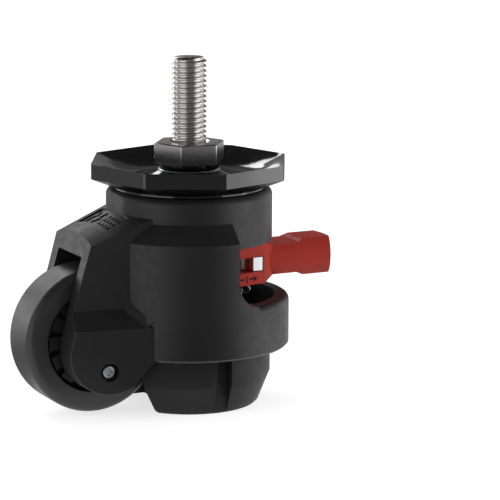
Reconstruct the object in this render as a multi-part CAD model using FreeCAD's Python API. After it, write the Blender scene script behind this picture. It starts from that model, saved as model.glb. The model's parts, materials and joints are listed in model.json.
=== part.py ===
import FreeCAD, Part
import math
import os

# Levelling castor with a ratchet lever. Millimetres, +Z up. The origin is the centre of the
# foot's flat underside, on the swivel axis. The wheel is towards -X and the lever towards +X.

# Heights of the housing, from the ground up
CUP_DROP = 20.6
CUP_H = 17.4
WINDOW_H = 19.6
POST_OVERLAP = 3.1
BEVEL_H = 6.1
COLLAR_H = 17.8

# Radii of the housing
BARREL_R = 34.8
COLLAR_R = BARREL_R - 6.0
COLLAR_EDGE_R = 2.2
CUP_WALL = 5.2
CUP_EDGE = 0.8

# Posts beside the window
POST_EDGE_X = 2.5
POST_INNER_Y = BARREL_R - 8.2
POST_FILLET_R = 9.0
CHAMBER_BACK_X = -10.5

# Centre and radius of the wheel
WHEEL_R = 25.0
WHEEL_X = -WHEEL_R - 14.2
WHEEL_Z = WHEEL_R + 1.4

# Fork that carries the wheel
FORK_TOP_FRONT = (WHEEL_X - 4.3, WHEEL_Z + 34.1)
FORK_TOP_BACK = (-21.5, WHEEL_Z + 43.4)
FORK_FRONT_LOW = (WHEEL_X - 10.8, WHEEL_Z + 11.6)
FORK_EYE_R = 13.6
FORK_EYE_DROP = 2.6
FORK_HEEL_ANGLE = -58.0
FORK_JOIN_X = -0.87 * BARREL_R
FORK_TAPER = 0.14
FORK_CROWN = 2.0
BOSS_JOIN_X = -0.707 * BARREL_R
BOSS_TAPER = 0.20
BOSS_TOP_Z = WHEEL_Z + 12.0
BOSS_BEVEL_H = 5.8
FACET_RISE = 2.6
LABEL_FRONT_X = -37.5
LABEL_BACK_X = -28.0
LABEL_HALF_W = 11.0
LABEL_DEPTH = 0.7

# Tyre, core and the blocks in the core's recess
WHEEL_HALF_W = 9.2
TYRE_SHOULDER = 2.6
CORE_R = WHEEL_R - 7.2
CORE_INSET = 0.8
RECESS_R = CORE_R - 5.6
RECESS_DEPTH = 3.8
BLOCK_COUNT = 14
BLOCK_W = 4.6
BLOCK_H = 2.6
BLOCK_MARGIN = 1.3
WELL_CLEAR = 1.3
WELL_SIDE_CLEAR = 0.7
WELL_WALL = 1.4
WELL_SIDE_WALL = 3.7
OPENING_TOP_Z = WHEEL_Z + WHEEL_R + 4.6

# Wheel axle and the plates that hold it
AXLE_R = 4.0
AXLE_CHAMFER = 0.4
BUSH_R = 6.5
BUSH_FLANGE_R = 8.5
BUSH_FLANGE_T = 0.8
BUSH_LEN = 6.0
AXLE_WASHER_R = 7.5
AXLE_WASHER_T = 0.5
PLATE_T = 2.1
PLATE_HALF_W = 7.0
PLATE_FOOT = 5.2
PLATE_INSET = 0.5
SCREW_X = WHEEL_X - 0.4
SCREW_DROP = 8.4
SCREW_HEAD_R = 2.2
SCREW_HEAD_H = 1.7
SCREW_SINK = 0.8
SCREW_SHANK_R = 1.5
SCREW_BORE_R = 3.15
SCREW_EDGE_R = 0.5
CROSS_W = 0.8
CROSS_DEPTH = 0.8
CROSS_REACH = 1.36

# Foot
FOOT_H = 28.0
FOOT_GAP = 1.3
FOOT_R = BARREL_R - CUP_WALL - FOOT_GAP
FOOT_BASE_R = FOOT_R - 4.0
FOOT_CONE_H = 11.0
FOOT_EDGE = 1.0
FOOT_TRAVEL = 9.0
FOOT_FLOOR = 5.0
KEY_W = 5.2
KEY_DEPTH = 4.4
KEY_CLEAR = 0.4
NOTCH_CLEAR = 0.5

# Spindle and ratchet nut
SPINDLE_R = 7.0
SPINDLE_ROOM = 2.3
SPINDLE_FLANGE_R = 9.6
SPINDLE_FLANGE_T = 4.0
NUT_JOURNAL_R = 10.85
NUT_FLANGE_R = 12.4
NUT_FLANGE_T = 0.9
GEAR_R = 10.6
GEAR_ROOT_R = 9.5
GEAR_TEETH = 20
GEAR_H = 7.7
HUB_R = 9.4
HUB_H = 6.0
LIP_H = 3.0
CIRCLIP_R = 11.4
CIRCLIP_T = 1.0
CIRCLIP_GROOVE = 0.6
THRUST_WASHER_R = 15.4
THRUST_WASHER_T = 1.6

# Lever
LEVER_Z = 48.3
HEAD_R = 15.8
HEAD_ROOM = 1.4
HEAD_SLOPE = 0.20
HEAD_END_X = 23.9
HEAD_HALF_H = 7.0
LOWER_BOSS_R = 12.6
LOWER_BOSS_H = 1.8
NECK_START_X = 29.2
NECK_HALF_W = 7.0
NECK_HALF_H = 5.25
NECK_END_X = 38.9
GRIP_START_X = 41.6
GRIP_END_X = 52.6
GRIP_R = 8.75
GRIP_HALF_H = 6.55
GRIP_CROWN_R = 31.0
TIP_HOLE_R = 2.85
TIP_HOLE_DEPTH = 16.0
WINDOW_LEFT_X = 6.8
WINDOW_RIGHT_X = 23.1
WINDOW_SLOT_H = 5.3

# Selector pawl, its pin and its detent
PAWL_X = 15.2
PAWL_ANGLE = 26.8
PAWL_ARM = 12.9
PAWL_W = 3.3
PAWL_H = 4.9
PAWL_HUB_R = 3.0
PAWL_NOSE = 0.95
PAWL_CUP_CLEAR = 0.65
PIN_R = 1.5
PIN_LEN = 12.0
BALL_R = 1.6
DETENT_BLOCK_X = 18.9
DETENT_HALF_W = 2.6
SPRING_TURNS = 6
SPRING_WIRE_R = 0.3
SPRING_R = 1.2
PLUG_R = 2.4
PLUG_LEN = 4.0

# Spring clip under the lever's head
CLIP_R = 12.4
CLIP_WIRE_R = 0.5
CLIP_EYE_R = 1.3
CLIP_EYE_DISTANCE = 19.7
CLIP_ANGLES = (-32.0, -56.0)

# Swivel head
RACE_R = COLLAR_R - 3.6
RACE_T = 3.9
RACE_SINK = 3.7
BALL_COUNT = 20
SWIVEL_BALL_R = 2.0
SWIVEL_PITCH_R = RACE_R - 2.4
PLATE_GAP = 0.5
STEM_BUSH_R = 8.0
HEAD_BORE_R = 13.2
PLATE_FLATS = 66.0
PLATE_TURN = 174.7
PLATE_RIM_H = 5.1
PLATE_LIP_R = 26.2
PLATE_CONE_H = 3.8
PLATE_DISH_R = 27.0
PLATE_DISH_DROP = 3.5
DISH_LIFT = 0.5
PLATE_HOLLOW_R = 15.0
PLATE_HOLLOW_DROP = 5.3
PLATE_BOSS_R = 11.0

# Stem, its nut and washers
STEM_R = 6.0
SHANK_R = 5.4
STEM_RELIEF = 0.3
STEM_TOP_Z = 120.5
STEM_CHAMFER = 0.7
BOLT_HEAD_FLATS = 17.0
BOLT_HEAD_H = 6.5
KING_WASHER_R = 11.5
KING_WASHER_T = 1.1
LOCK_WASHER_R = 10.3
LOCK_WASHER_T = 2.7
LOCK_WASHER_CUT = 1.6
LOCK_WASHER_SLANT = 25.0
LOCK_WASHER_TURN = -75.0
NUT_FLATS = 22.0
NUT_H = 7.1
NUT_TURN = 52.5
NUT_CHAMFER_ANGLE = 30.0
NUT_FACE_PART = 0.96
NUT_FUNNEL = 1.0

# Clearances
RUN = 0.05
FACE = 0.1
SEAT = 0.03
FREE = 0.35

# Heights worked out from the stack
RIM_Z = CUP_DROP + CUP_H
CEILING_Z = RIM_Z + WINDOW_H
BARREL_TOP_Z = CEILING_Z + POST_OVERLAP
BEVEL_TOP_Z = BARREL_TOP_Z + BEVEL_H
COLLAR_TOP_Z = CEILING_Z + COLLAR_H
LIP_TOP_Z = CEILING_Z + LIP_H
RACE_FLOOR_Z = COLLAR_TOP_Z - RACE_SINK
RACE_TOP_Z = RACE_FLOOR_Z + RACE_T
PLATE_BOTTOM_Z = RACE_TOP_Z + PLATE_GAP
PLATE_RIM_Z = PLATE_BOTTOM_Z + PLATE_CONE_H
PLATE_TOP_Z = PLATE_RIM_Z + PLATE_RIM_H
PLATE_BOSS_Z = PLATE_TOP_Z - PLATE_DISH_DROP
BALL_Z = (RACE_TOP_Z + PLATE_BOTTOM_Z) / 2.0
LOCK_TOP_Z = PLATE_BOSS_Z + LOCK_WASHER_T
SHOULDER_Z = CEILING_Z - THRUST_WASHER_T - FACE
HUB_TOP_Z = SHOULDER_Z + HUB_H + FACE
BOLT_HEAD_TOP_Z = RACE_FLOOR_Z - FACE - KING_WASHER_T
SPINDLE_TOP_Z = BOLT_HEAD_TOP_Z - BOLT_HEAD_H - FOOT_TRAVEL - SPINDLE_ROOM
HEAD_LOW_Z = LEVER_Z - HEAD_HALF_H
HEAD_TOP_Z = LEVER_Z + HEAD_HALF_H
LEVER_LOW_Z = HEAD_LOW_Z - LOWER_BOSS_H
NUT_FLANGE_Z = LEVER_LOW_Z - FACE - NUT_FLANGE_T

# Widths and radii worked out from the fits
CUP_BORE_R = BARREL_R - CUP_WALL
SLOT_HALF_W = WHEEL_HALF_W + WELL_SIDE_CLEAR
WELL_R = WHEEL_R + WELL_CLEAR
LINING_R = WELL_R + WELL_WALL
LINING_HALF_W = SLOT_HALF_W + WELL_SIDE_WALL
NOTCH_HALF_W = LINING_HALF_W + NOTCH_CLEAR
NOTCH_X = WHEEL_X + LINING_R + NOTCH_CLEAR
PLATE_IN_Y = SLOT_HALF_W
PLATE_OUT_Y = SLOT_HALF_W + PLATE_T
SCREW_Z = WHEEL_Z - SCREW_DROP
PLUG_END_X = GRIP_END_X - TIP_HOLE_DEPTH
SPRING_END_X = PLUG_END_X - PLUG_LEN


def vec(x, y, z):
    return FreeCAD.Vector(x, y, z)


def box(x0, x1, y0, y1, z0, z1):
    return Part.makeBox(x1 - x0, y1 - y0, z1 - z0, vec(x0, y0, z0))


def disc(radius, z0, z1, x=0.0, y=0.0):
    return Part.makeCylinder(radius, z1 - z0, vec(x, y, z0))


def ring(outer, inner, z0, z1):
    return disc(outer, z0, z1).cut(disc(inner, z0 - 1.0, z1 + 1.0))


def cross_disc(radius, y0, y1, x, z):
    return Part.makeCylinder(radius, y1 - y0, vec(x, y0, z), vec(0, 1, 0))


def long_disc(radius, x0, x1, z):
    return Part.makeCylinder(radius, x1 - x0, vec(x0, 0, z), vec(1, 0, 0))


def plan_prism(points, z0, z1):
    corners = [vec(x, y, z0) for x, y in points]
    face = Part.Face(Part.makePolygon(corners + corners[:1]))
    return face.extrude(vec(0, 0, z1 - z0))


def side_prism(points, half_width):
    corners = [vec(x, -half_width, z) for x, z in points]
    face = Part.Face(Part.makePolygon(corners + corners[:1]))
    return face.extrude(vec(0, 2 * half_width, 0))


def turned(points):
    """Revolve a closed (radius, height) outline about the swivel axis."""
    corners = [vec(r, 0, z) for r, z in points]
    face = Part.Face(Part.makePolygon(corners + corners[:1]))
    return face.revolve(vec(0, 0, 0), vec(0, 0, 1), 360)


def wheel_turned(points):
    """Revolve a closed (radius, y) outline about the wheel's axle."""
    corners = [vec(WHEEL_X + r, y, WHEEL_Z) for r, y in points]
    face = Part.Face(Part.makePolygon(corners + corners[:1]))
    return face.revolve(vec(WHEEL_X, 0, WHEEL_Z), vec(0, 1, 0), 360)


def hexagon(flats, z0, z1, turn):
    radius = flats / 2.0 / math.cos(math.pi / 6)
    points = [polar(radius, turn + 60.0 * k) for k in range(6)]
    return plan_prism(points, z0, z1)


def polar(radius, degrees):
    angle = math.radians(degrees)
    return (radius * math.cos(angle), radius * math.sin(angle))


def mirrored_y(shape):
    return shape.mirror(vec(0, 0, 0), vec(0, 1, 0))


def fork_half_width(x):
    join = math.sqrt(BARREL_R ** 2 - FORK_JOIN_X ** 2)
    return join - FORK_TAPER * (FORK_JOIN_X - x)


def boss_half_width(x):
    join = math.sqrt(BARREL_R ** 2 - BOSS_JOIN_X ** 2)
    return join - BOSS_TAPER * (BOSS_JOIN_X - x)


# Housing


def barrel():
    """Cup and posts as one barrel with a conical shoulder, under the swivel collar."""
    column = disc(COLLAR_R, CUP_DROP, COLLAR_TOP_Z)
    top_edges = [e for e in column.Edges if abs(e.BoundBox.ZMin - COLLAR_TOP_Z) < 0.01]
    column = column.makeFillet(COLLAR_EDGE_R, top_edges[:1])
    outline = [
        (0, CUP_DROP),
        (BARREL_R - CUP_EDGE, CUP_DROP),
        (BARREL_R, CUP_DROP + CUP_EDGE),
        (BARREL_R, BARREL_TOP_Z),
        (COLLAR_R, BEVEL_TOP_Z),
        (0, BEVEL_TOP_Z),
    ]
    shell = turned(outline)
    front = box(POST_EDGE_X, 2 * BARREL_R, -2 * BARREL_R, 2 * BARREL_R, CEILING_Z - 1.0, BEVEL_TOP_Z + 1.0)
    return column.fuse(shell.cut(front))


def fork_side_outline(lift):
    """Side outline of the fork as a closed wire, its top raised by lift."""
    eye_z = WHEEL_Z - FORK_EYE_DROP
    low = FORK_FRONT_LOW
    reach = math.hypot(low[0] - WHEEL_X, low[1] - eye_z)
    toward = math.degrees(math.atan2(low[1] - eye_z, low[0] - WHEEL_X))
    tangent_angle = toward + math.degrees(math.acos(FORK_EYE_R / reach))

    def eye(degrees):
        x, z = polar(FORK_EYE_R, degrees)
        return (WHEEL_X + x, eye_z + z)

    inner_x = -COLLAR_R / 2.0
    slope = (FORK_TOP_BACK[1] - FORK_TOP_FRONT[1]) / (FORK_TOP_BACK[0] - FORK_TOP_FRONT[0])
    top_inner_z = FORK_TOP_BACK[1] + slope * (inner_x - FORK_TOP_BACK[0])
    front_lean = (FORK_TOP_FRONT[0] - low[0]) / (FORK_TOP_FRONT[1] - low[1])
    tangent = eye(tangent_angle)
    heel = eye(FORK_HEEL_ANGLE)
    middle = eye((tangent_angle + 360.0 + FORK_HEEL_ANGLE) / 2.0)

    def point(pair):
        return vec(pair[0], 0, pair[1])

    corners = [
        heel,
        (BOSS_JOIN_X, CUP_DROP),
        (inner_x, CUP_DROP),
        (inner_x, top_inner_z + lift),
        (FORK_TOP_FRONT[0] + front_lean * lift, FORK_TOP_FRONT[1] + lift),
        low,
        tangent,
    ]
    edges = [Part.makeLine(point(a), point(b)) for a, b in zip(corners, corners[1:])]
    edges.append(Part.Arc(point(tangent), point(middle), point(heel)).toShape())
    return Part.Wire(edges)


def crown(radius):
    """Long cylinder that arches the fork's top, its axis along the top's slope."""
    front = vec(FORK_TOP_FRONT[0], 0, FORK_TOP_FRONT[1])
    back = vec(FORK_TOP_BACK[0], 0, FORK_TOP_BACK[1])
    along = (back - front).normalize()
    normal = vec(-along.z, 0, along.x)
    half = fork_half_width(FORK_TOP_FRONT[0])
    arch_r = (half ** 2 + FORK_CROWN ** 2) / (2 * FORK_CROWN)
    centre = front + normal * (FORK_CROWN - arch_r)
    return Part.makeCylinder(arch_r + radius, 6 * BARREL_R, centre - along * (3 * BARREL_R), along)


def plan_wedge(half_width_at, z0, z1):
    front_x = WHEEL_X - 2 * FORK_EYE_R
    back_x = -COLLAR_R / 2.0
    points = [
        (front_x, -half_width_at(front_x)),
        (back_x, -half_width_at(back_x)),
        (back_x, half_width_at(back_x)),
        (front_x, half_width_at(front_x)),
    ]
    return plan_prism(points, z0, z1)


def boss_wedge():
    """Wider lower part of the fork, with a bevel up to the narrower cheeks."""
    bevel_z = BOSS_TOP_Z - BOSS_BEVEL_H
    low = plan_wedge(boss_half_width, 0, bevel_z)
    sections = []
    for width_at, z in ((boss_half_width, bevel_z), (fork_half_width, BOSS_TOP_Z)):
        front_x = WHEEL_X - 2 * FORK_EYE_R
        back_x = -COLLAR_R / 2.0
        points = [
            vec(front_x, -width_at(front_x), z),
            vec(back_x, -width_at(back_x), z),
            vec(back_x, width_at(back_x), z),
            vec(front_x, width_at(front_x), z),
        ]
        sections.append(Part.makePolygon(points + points[:1]))
    bevel = Part.makeLoft(sections, True, True)
    return low.fuse(bevel)


def corner_facet():
    """Slanted facet between the cheek, the boss and the barrel, on the -Y side."""
    bevel_z = BOSS_TOP_Z - BOSS_BEVEL_H
    upper = vec(FORK_JOIN_X, -fork_half_width(FORK_JOIN_X), BOSS_TOP_Z + FACET_RISE)
    lower = vec(BOSS_JOIN_X, -boss_half_width(BOSS_JOIN_X), bevel_z + FACET_RISE)
    left_x = FORK_JOIN_X - FACET_RISE
    left = vec(left_x, -fork_half_width(left_x), BOSS_TOP_Z)
    right = lower - upper + left
    face = Part.Face(Part.makePolygon([upper, lower, right, left, upper]))
    inward = vec(0.3, 1.0, -0.6) * FORK_EYE_R / 2.0
    return face.extrude(inward)


def fork():
    side = Part.Face(fork_side_outline(FORK_CROWN * 1.5))
    side.translate(vec(0, -2 * BARREL_R, 0))
    body = side.extrude(vec(0, 4 * BARREL_R, 0))
    upper = plan_wedge(fork_half_width, 0, COLLAR_TOP_Z)
    body = body.common(upper.fuse(boss_wedge()))
    body = body.common(crown(0.0))
    facet = corner_facet()
    return body.fuse([facet, mirrored_y(facet)])


def label_recess():
    low_z = FORK_TOP_FRONT[1] - FORK_EYE_R
    window = box(LABEL_FRONT_X, LABEL_BACK_X, -LABEL_HALF_W, LABEL_HALF_W, low_z, COLLAR_TOP_Z)
    return window.cut(crown(-LABEL_DEPTH))


def window_cut():
    """The open front between cup and collar, rounded where the posts meet the cup."""
    far = 2 * BARREL_R
    r = POST_FILLET_R
    mid = r * (1 - math.sqrt(0.5))

    def point(x, z):
        return vec(x, -far, z)

    corners = [
        point(POST_EDGE_X + r, RIM_Z),
        point(far, RIM_Z),
        point(far, CEILING_Z),
        point(POST_EDGE_X, CEILING_Z),
        point(POST_EDGE_X, RIM_Z + r),
    ]
    edges = [Part.makeLine(a, b) for a, b in zip(corners, corners[1:])]
    bend = Part.Arc(corners[4], point(POST_EDGE_X + mid, RIM_Z + mid), corners[0])
    edges.append(bend.toShape())
    opening = Part.Face(Part.Wire(edges)).extrude(vec(0, 2 * far, 0))
    between = box(CHAMBER_BACK_X, POST_EDGE_X + r, -POST_INNER_Y, POST_INNER_Y, RIM_Z, CEILING_Z)
    return opening.fuse([between, disc(HEAD_R + HEAD_ROOM, RIM_Z, CEILING_Z)])


def wheel_well_lining():
    """Moulded wall between the wheel and the foot, inside the cup."""
    drum = cross_disc(LINING_R, -LINING_HALF_W, LINING_HALF_W, WHEEL_X, WHEEL_Z)
    space = box(-BARREL_R + CUP_WALL, 0, -BARREL_R, BARREL_R, CUP_DROP, RIM_Z)
    return drum.common(space)


def wheel_slot():
    drum = cross_disc(WELL_R, -SLOT_HALF_W, SLOT_HALF_W, WHEEL_X, WHEEL_Z)
    front = box(-3 * BARREL_R, WHEEL_X, -SLOT_HALF_W, SLOT_HALF_W, -1.0, OPENING_TOP_Z)
    return drum.fuse(front)


def axle_pocket():
    """Seat of the axle plate in the inner face of the -Y cheek, open below."""
    half = PLATE_HALF_W + FACE
    top = cross_disc(half, -PLATE_OUT_Y - FACE, 0, WHEEL_X, WHEEL_Z)
    slot = box(WHEEL_X - half, WHEEL_X + half, -PLATE_OUT_Y - FACE, 0, 0, WHEEL_Z)
    return top.fuse(slot)


def screw_hole():
    seat_y = screw_seat_y()
    bore = cross_disc(SCREW_BORE_R, -BARREL_R, -seat_y, SCREW_X, SCREW_Z)
    shank = cross_disc(SCREW_SHANK_R + FACE, -BARREL_R, 0, SCREW_X, SCREW_Z)
    return bore.fuse(shank)


def screw_seat_y():
    return boss_half_width(SCREW_X) - SCREW_SINK - SCREW_HEAD_H


def key_rib():
    inner_y = FOOT_R - KEY_DEPTH + KEY_CLEAR
    return box(-KEY_W / 2.0, KEY_W / 2.0, -BARREL_R + CUP_WALL / 2.0, -inner_y, CUP_DROP, RIM_Z)


def housing():
    body = barrel().fuse(fork())
    body = body.cut(disc(CUP_BORE_R, CUP_DROP - 1.0, RIM_Z))
    body = body.cut(window_cut())
    body = body.fuse([wheel_well_lining(), key_rib(), mirrored_y(key_rib())])
    pocket = axle_pocket()
    hole = screw_hole()
    body = body.cut([wheel_slot(), pocket, mirrored_y(pocket), hole, mirrored_y(hole), label_recess()])
    bores = [
        disc(HUB_R + RUN, CEILING_Z - 1.0, LIP_TOP_Z + 1.0),
        disc(HEAD_BORE_R, LIP_TOP_Z, COLLAR_TOP_Z),
        disc(RACE_R + SEAT, RACE_FLOOR_Z, COLLAR_TOP_Z + 1.0),
    ]
    return body.cut(bores).removeSplitter()


# Wheel


def tyre():
    half = WHEEL_HALF_W
    r = TYRE_SHOULDER
    bend = r * math.sqrt(0.5)

    def point(radius, y):
        return vec(WHEEL_X + radius, y, WHEEL_Z)

    inner = CORE_R + SEAT
    lines = [
        ((WHEEL_R, -half + r), (WHEEL_R, half - r)),
        ((WHEEL_R - r, half), (inner, half)),
        ((inner, half), (inner, -half)),
        ((inner, -half), (WHEEL_R - r, -half)),
    ]
    edges = [Part.makeLine(point(*a), point(*b)) for a, b in lines]
    for side in (1, -1):
        start = point(WHEEL_R, side * (half - r))
        middle = point(WHEEL_R - r + bend, side * (half - r + bend))
        end = point(WHEEL_R - r, side * half)
        edges.append(Part.Arc(start, middle, end).toShape())
    face = Part.Face(Part.Wire(Part.__sortEdges__(edges)))
    return face.revolve(vec(WHEEL_X, 0, WHEEL_Z), vec(0, 1, 0), 360)


def wheel_core():
    """Core with a deep ring-shaped recess on each side and a row of blocks in it."""
    half = WHEEL_HALF_W - CORE_INSET
    floor = half - RECESS_DEPTH
    bush = BUSH_R + SEAT
    outline = [
        (bush, -half), (RECESS_R, -half), (RECESS_R, -floor), (CORE_R - BLOCK_MARGIN, -floor),
        (CORE_R, -floor - BLOCK_MARGIN), (CORE_R, floor + BLOCK_MARGIN),
        (CORE_R - BLOCK_MARGIN, floor), (RECESS_R, floor), (RECESS_R, half), (bush, half),
    ]
    blocks = []
    outer = CORE_R - BLOCK_MARGIN
    for side in (1, -1):
        ends = sorted((0.0, side * (floor + BLOCK_H)))
        block = box(RECESS_R - BLOCK_MARGIN, outer, ends[0], ends[1], -BLOCK_W / 2, BLOCK_W / 2)
        for k in range(BLOCK_COUNT):
            copy = block.copy()
            copy.rotate(vec(0, 0, 0), vec(0, 1, 0), 360.0 * k / BLOCK_COUNT)
            copy.translate(vec(WHEEL_X, 0, WHEEL_Z))
            blocks.append(copy)
    return wheel_turned(outline).fuse(blocks).removeSplitter()


def wheel_bushing():
    """Flanged bush on the -Y side of the wheel."""
    face_y = WHEEL_HALF_W - CORE_INSET
    bore = AXLE_R + RUN
    outline = [
        (bore, -face_y + BUSH_LEN), (BUSH_R, -face_y + BUSH_LEN), (BUSH_R, -face_y),
        (BUSH_FLANGE_R, -face_y), (BUSH_FLANGE_R, -face_y - BUSH_FLANGE_T), (bore, -face_y - BUSH_FLANGE_T),
    ]
    return wheel_turned(outline)


def axle():
    rod = cross_disc(AXLE_R, -PLATE_OUT_Y, PLATE_OUT_Y, WHEEL_X, WHEEL_Z)
    return rod.makeChamfer(AXLE_CHAMFER, [e for e in rod.Edges if len(e.Vertexes) == 1])


def axle_washer():
    outer_y = PLATE_IN_Y
    washer = cross_disc(AXLE_WASHER_R, -outer_y, -outer_y + AXLE_WASHER_T, WHEEL_X, WHEEL_Z)
    return washer.cut(cross_disc(AXLE_R + SEAT, -BARREL_R, BARREL_R, WHEEL_X, WHEEL_Z))


def axle_plate():
    """Steel plate in the -Y cheek that holds one end of the axle."""
    low_z = SCREW_Z - PLATE_FOOT
    top = cross_disc(PLATE_HALF_W, -PLATE_OUT_Y, -PLATE_IN_Y, WHEEL_X, WHEEL_Z)
    tail = box(WHEEL_X - PLATE_HALF_W, WHEEL_X + PLATE_HALF_W, -PLATE_OUT_Y, -PLATE_IN_Y, low_z, WHEEL_Z)
    eye_z = WHEEL_Z - FORK_EYE_DROP
    outline = cross_disc(FORK_EYE_R - PLATE_INSET, -PLATE_OUT_Y, -PLATE_IN_Y, WHEEL_X, eye_z)
    plate = top.fuse(tail).common(outline).removeSplitter()
    holes = [
        cross_disc(AXLE_R + SEAT, -BARREL_R, 0, WHEEL_X, WHEEL_Z),
        cross_disc(SCREW_SHANK_R + SEAT, -BARREL_R, 0, SCREW_X, SCREW_Z),
    ]
    return plate.cut(holes)


def axle_screw():
    """Cross-head screw through the -Y cheek into the axle plate."""
    seat_y = -screw_seat_y()
    head = cross_disc(SCREW_HEAD_R, seat_y - SCREW_HEAD_H, seat_y, SCREW_X, SCREW_Z)
    rims = [e for e in head.Edges if abs(e.BoundBox.YMax - head.BoundBox.YMin) < SEAT]
    head = head.makeFillet(SCREW_EDGE_R, rims)
    shank = cross_disc(SCREW_SHANK_R, seat_y, -PLATE_IN_Y, SCREW_X, SCREW_Z)
    outer = seat_y - SCREW_HEAD_H
    bar = box(-CROSS_REACH, CROSS_REACH, outer - 1.0, outer + CROSS_DEPTH, -CROSS_W / 2, CROSS_W / 2)
    upright = bar.copy()
    upright.rotate(vec(0, 0, 0), vec(0, 1, 0), 90)
    cross = bar.fuse(upright)
    cross.translate(vec(SCREW_X, 0, SCREW_Z))
    return head.fuse(shank).cut(cross)


# Foot and spindle


def foot_pad():
    outline = [
        (0, 0), (FOOT_BASE_R - FOOT_EDGE, 0), (FOOT_BASE_R, FOOT_EDGE),
        (FOOT_R, FOOT_CONE_H), (FOOT_R, FOOT_H), (0, FOOT_H),
    ]
    pad = turned(outline)
    far = 2 * FOOT_R
    notch = box(-far, NOTCH_X, -NOTCH_HALF_W, NOTCH_HALF_W, -1.0, FOOT_H + 1.0)
    groove_half = KEY_W / 2.0 + KEY_CLEAR / 2.0
    groove = box(-groove_half, groove_half, -far, -FOOT_R + KEY_DEPTH, -1.0, FOOT_H + 1.0)
    pad = pad.cut([notch, groove, mirrored_y(groove)])
    flange = disc(SPINDLE_FLANGE_R + SEAT, FOOT_FLOOR, FOOT_FLOOR + SPINDLE_FLANGE_T)
    shaft = disc(SPINDLE_R + SEAT, FOOT_FLOOR, FOOT_H + 1.0)
    return pad.cut([flange, shaft]).removeSplitter()


def foot_spindle():
    outline = [
        (0, FOOT_FLOOR), (SPINDLE_FLANGE_R, FOOT_FLOOR),
        (SPINDLE_FLANGE_R, FOOT_FLOOR + SPINDLE_FLANGE_T), (SPINDLE_R, FOOT_FLOOR + SPINDLE_FLANGE_T),
        (SPINDLE_R, SPINDLE_TOP_Z - 1.0), (SPINDLE_R - 1.0, SPINDLE_TOP_Z), (0, SPINDLE_TOP_Z),
    ]
    return turned(outline)


# Ratchet nut and what holds it


def ratchet_nut():
    gear_low = LEVER_Z - GEAR_H / 2.0
    gear_high = LEVER_Z + GEAR_H / 2.0
    bore = SPINDLE_R + RUN
    clip_low = LIP_TOP_Z + FACE
    clip_high = clip_low + CIRCLIP_T + FACE
    outline = [
        (bore, NUT_FLANGE_Z), (NUT_FLANGE_R, NUT_FLANGE_Z), (NUT_FLANGE_R, NUT_FLANGE_Z + NUT_FLANGE_T),
        (NUT_JOURNAL_R, NUT_FLANGE_Z + NUT_FLANGE_T), (NUT_JOURNAL_R, gear_low), (GEAR_ROOT_R, gear_low),
        (GEAR_ROOT_R, gear_high), (NUT_JOURNAL_R, gear_high), (NUT_JOURNAL_R, SHOULDER_Z),
        (HUB_R, SHOULDER_Z), (HUB_R, clip_low), (HUB_R - CIRCLIP_GROOVE, clip_low),
        (HUB_R - CIRCLIP_GROOVE, clip_high), (HUB_R, clip_high), (HUB_R, HUB_TOP_Z), (bore, HUB_TOP_Z),
    ]
    body = turned(outline)
    return body.fuse(gear_teeth(gear_low, gear_high)).removeSplitter()


def gear_teeth(z0, z1):
    step = 360.0 / GEAR_TEETH
    points = []
    for k in range(GEAR_TEETH):
        base = k * step
        points.append(polar(GEAR_ROOT_R, base))
        points.append(polar(GEAR_ROOT_R, base + 0.25 * step))
        points.append(polar(GEAR_R, base + 0.50 * step))
        points.append(polar(GEAR_R, base + 0.75 * step))
    return plan_prism(points, z0, z1).cut(disc(SPINDLE_R + 1.0, z0 - 1.0, z1 + 1.0))


def hub_circlip():
    """Open ring in the groove of the nut's hub, resting on the housing's lip."""
    low = LIP_TOP_Z + FACE
    inner = HUB_R - CIRCLIP_GROOVE + SEAT
    clip = ring(CIRCLIP_R, inner, low + FACE / 2.0, low + CIRCLIP_T + FACE / 2.0)
    gap = box(0, 2 * CIRCLIP_R, -CIRCLIP_T, CIRCLIP_T, low - 1.0, low + 2 * CIRCLIP_T)
    return clip.cut(gap)


def thrust_washer():
    return ring(THRUST_WASHER_R, HUB_R + RUN, CEILING_Z - THRUST_WASHER_T, CEILING_Z)


# Lever and selector


def head_plan():
    """Plan of the lever's head as a wire: round back, tapering sides, oblique ends."""
    tangent = 90.0 - math.degrees(math.atan(HEAD_SLOPE))
    touch = polar(HEAD_R, tangent)
    head_end_y = touch[1] - HEAD_SLOPE * (HEAD_END_X - touch[0])
    side = [touch, (HEAD_END_X, head_end_y), (NECK_START_X, NECK_HALF_W)]
    edges = []
    for sign in (1, -1):
        row = [vec(x, sign * y, 0) for x, y in side]
        edges.extend(Part.makeLine(a, b) for a, b in zip(row, row[1:]))
    edges.append(Part.makeLine(vec(NECK_START_X, NECK_HALF_W, 0), vec(NECK_START_X, -NECK_HALF_W, 0)))
    edges.append(Part.Arc(vec(touch[0], touch[1], 0), vec(-HEAD_R, 0, 0), vec(touch[0], -touch[1], 0)).toShape())
    return Part.Wire(Part.__sortEdges__(edges))


def lever_side():
    """Side outline of the lever: a thick head, a thinner neck and a grip."""
    upper = [
        (-HEAD_R - 1.0, HEAD_HALF_H),
        (HEAD_END_X, HEAD_HALF_H),
        (NECK_START_X, NECK_HALF_H),
        (NECK_END_X, NECK_HALF_H),
        (GRIP_START_X, GRIP_HALF_H),
        (GRIP_END_X + 1.0, GRIP_HALF_H),
    ]
    lower = [(x, -h) for x, h in reversed(upper)]
    return [(x, LEVER_Z + h) for x, h in upper + lower]


def lever_bar():
    """Round bar of the neck and grip, its end crowned in plan."""
    bar = long_disc(GRIP_R, 0, GRIP_END_X, LEVER_Z)
    crown_x = GRIP_END_X - GRIP_CROWN_R
    crowned = disc(GRIP_CROWN_R, LEVER_Z - 2 * GRIP_R, LEVER_Z + 2 * GRIP_R, crown_x)
    crowned.rotate(vec(crown_x, 0, 0), vec(0, 0, 1), 180)
    return bar.common(crowned)


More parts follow.
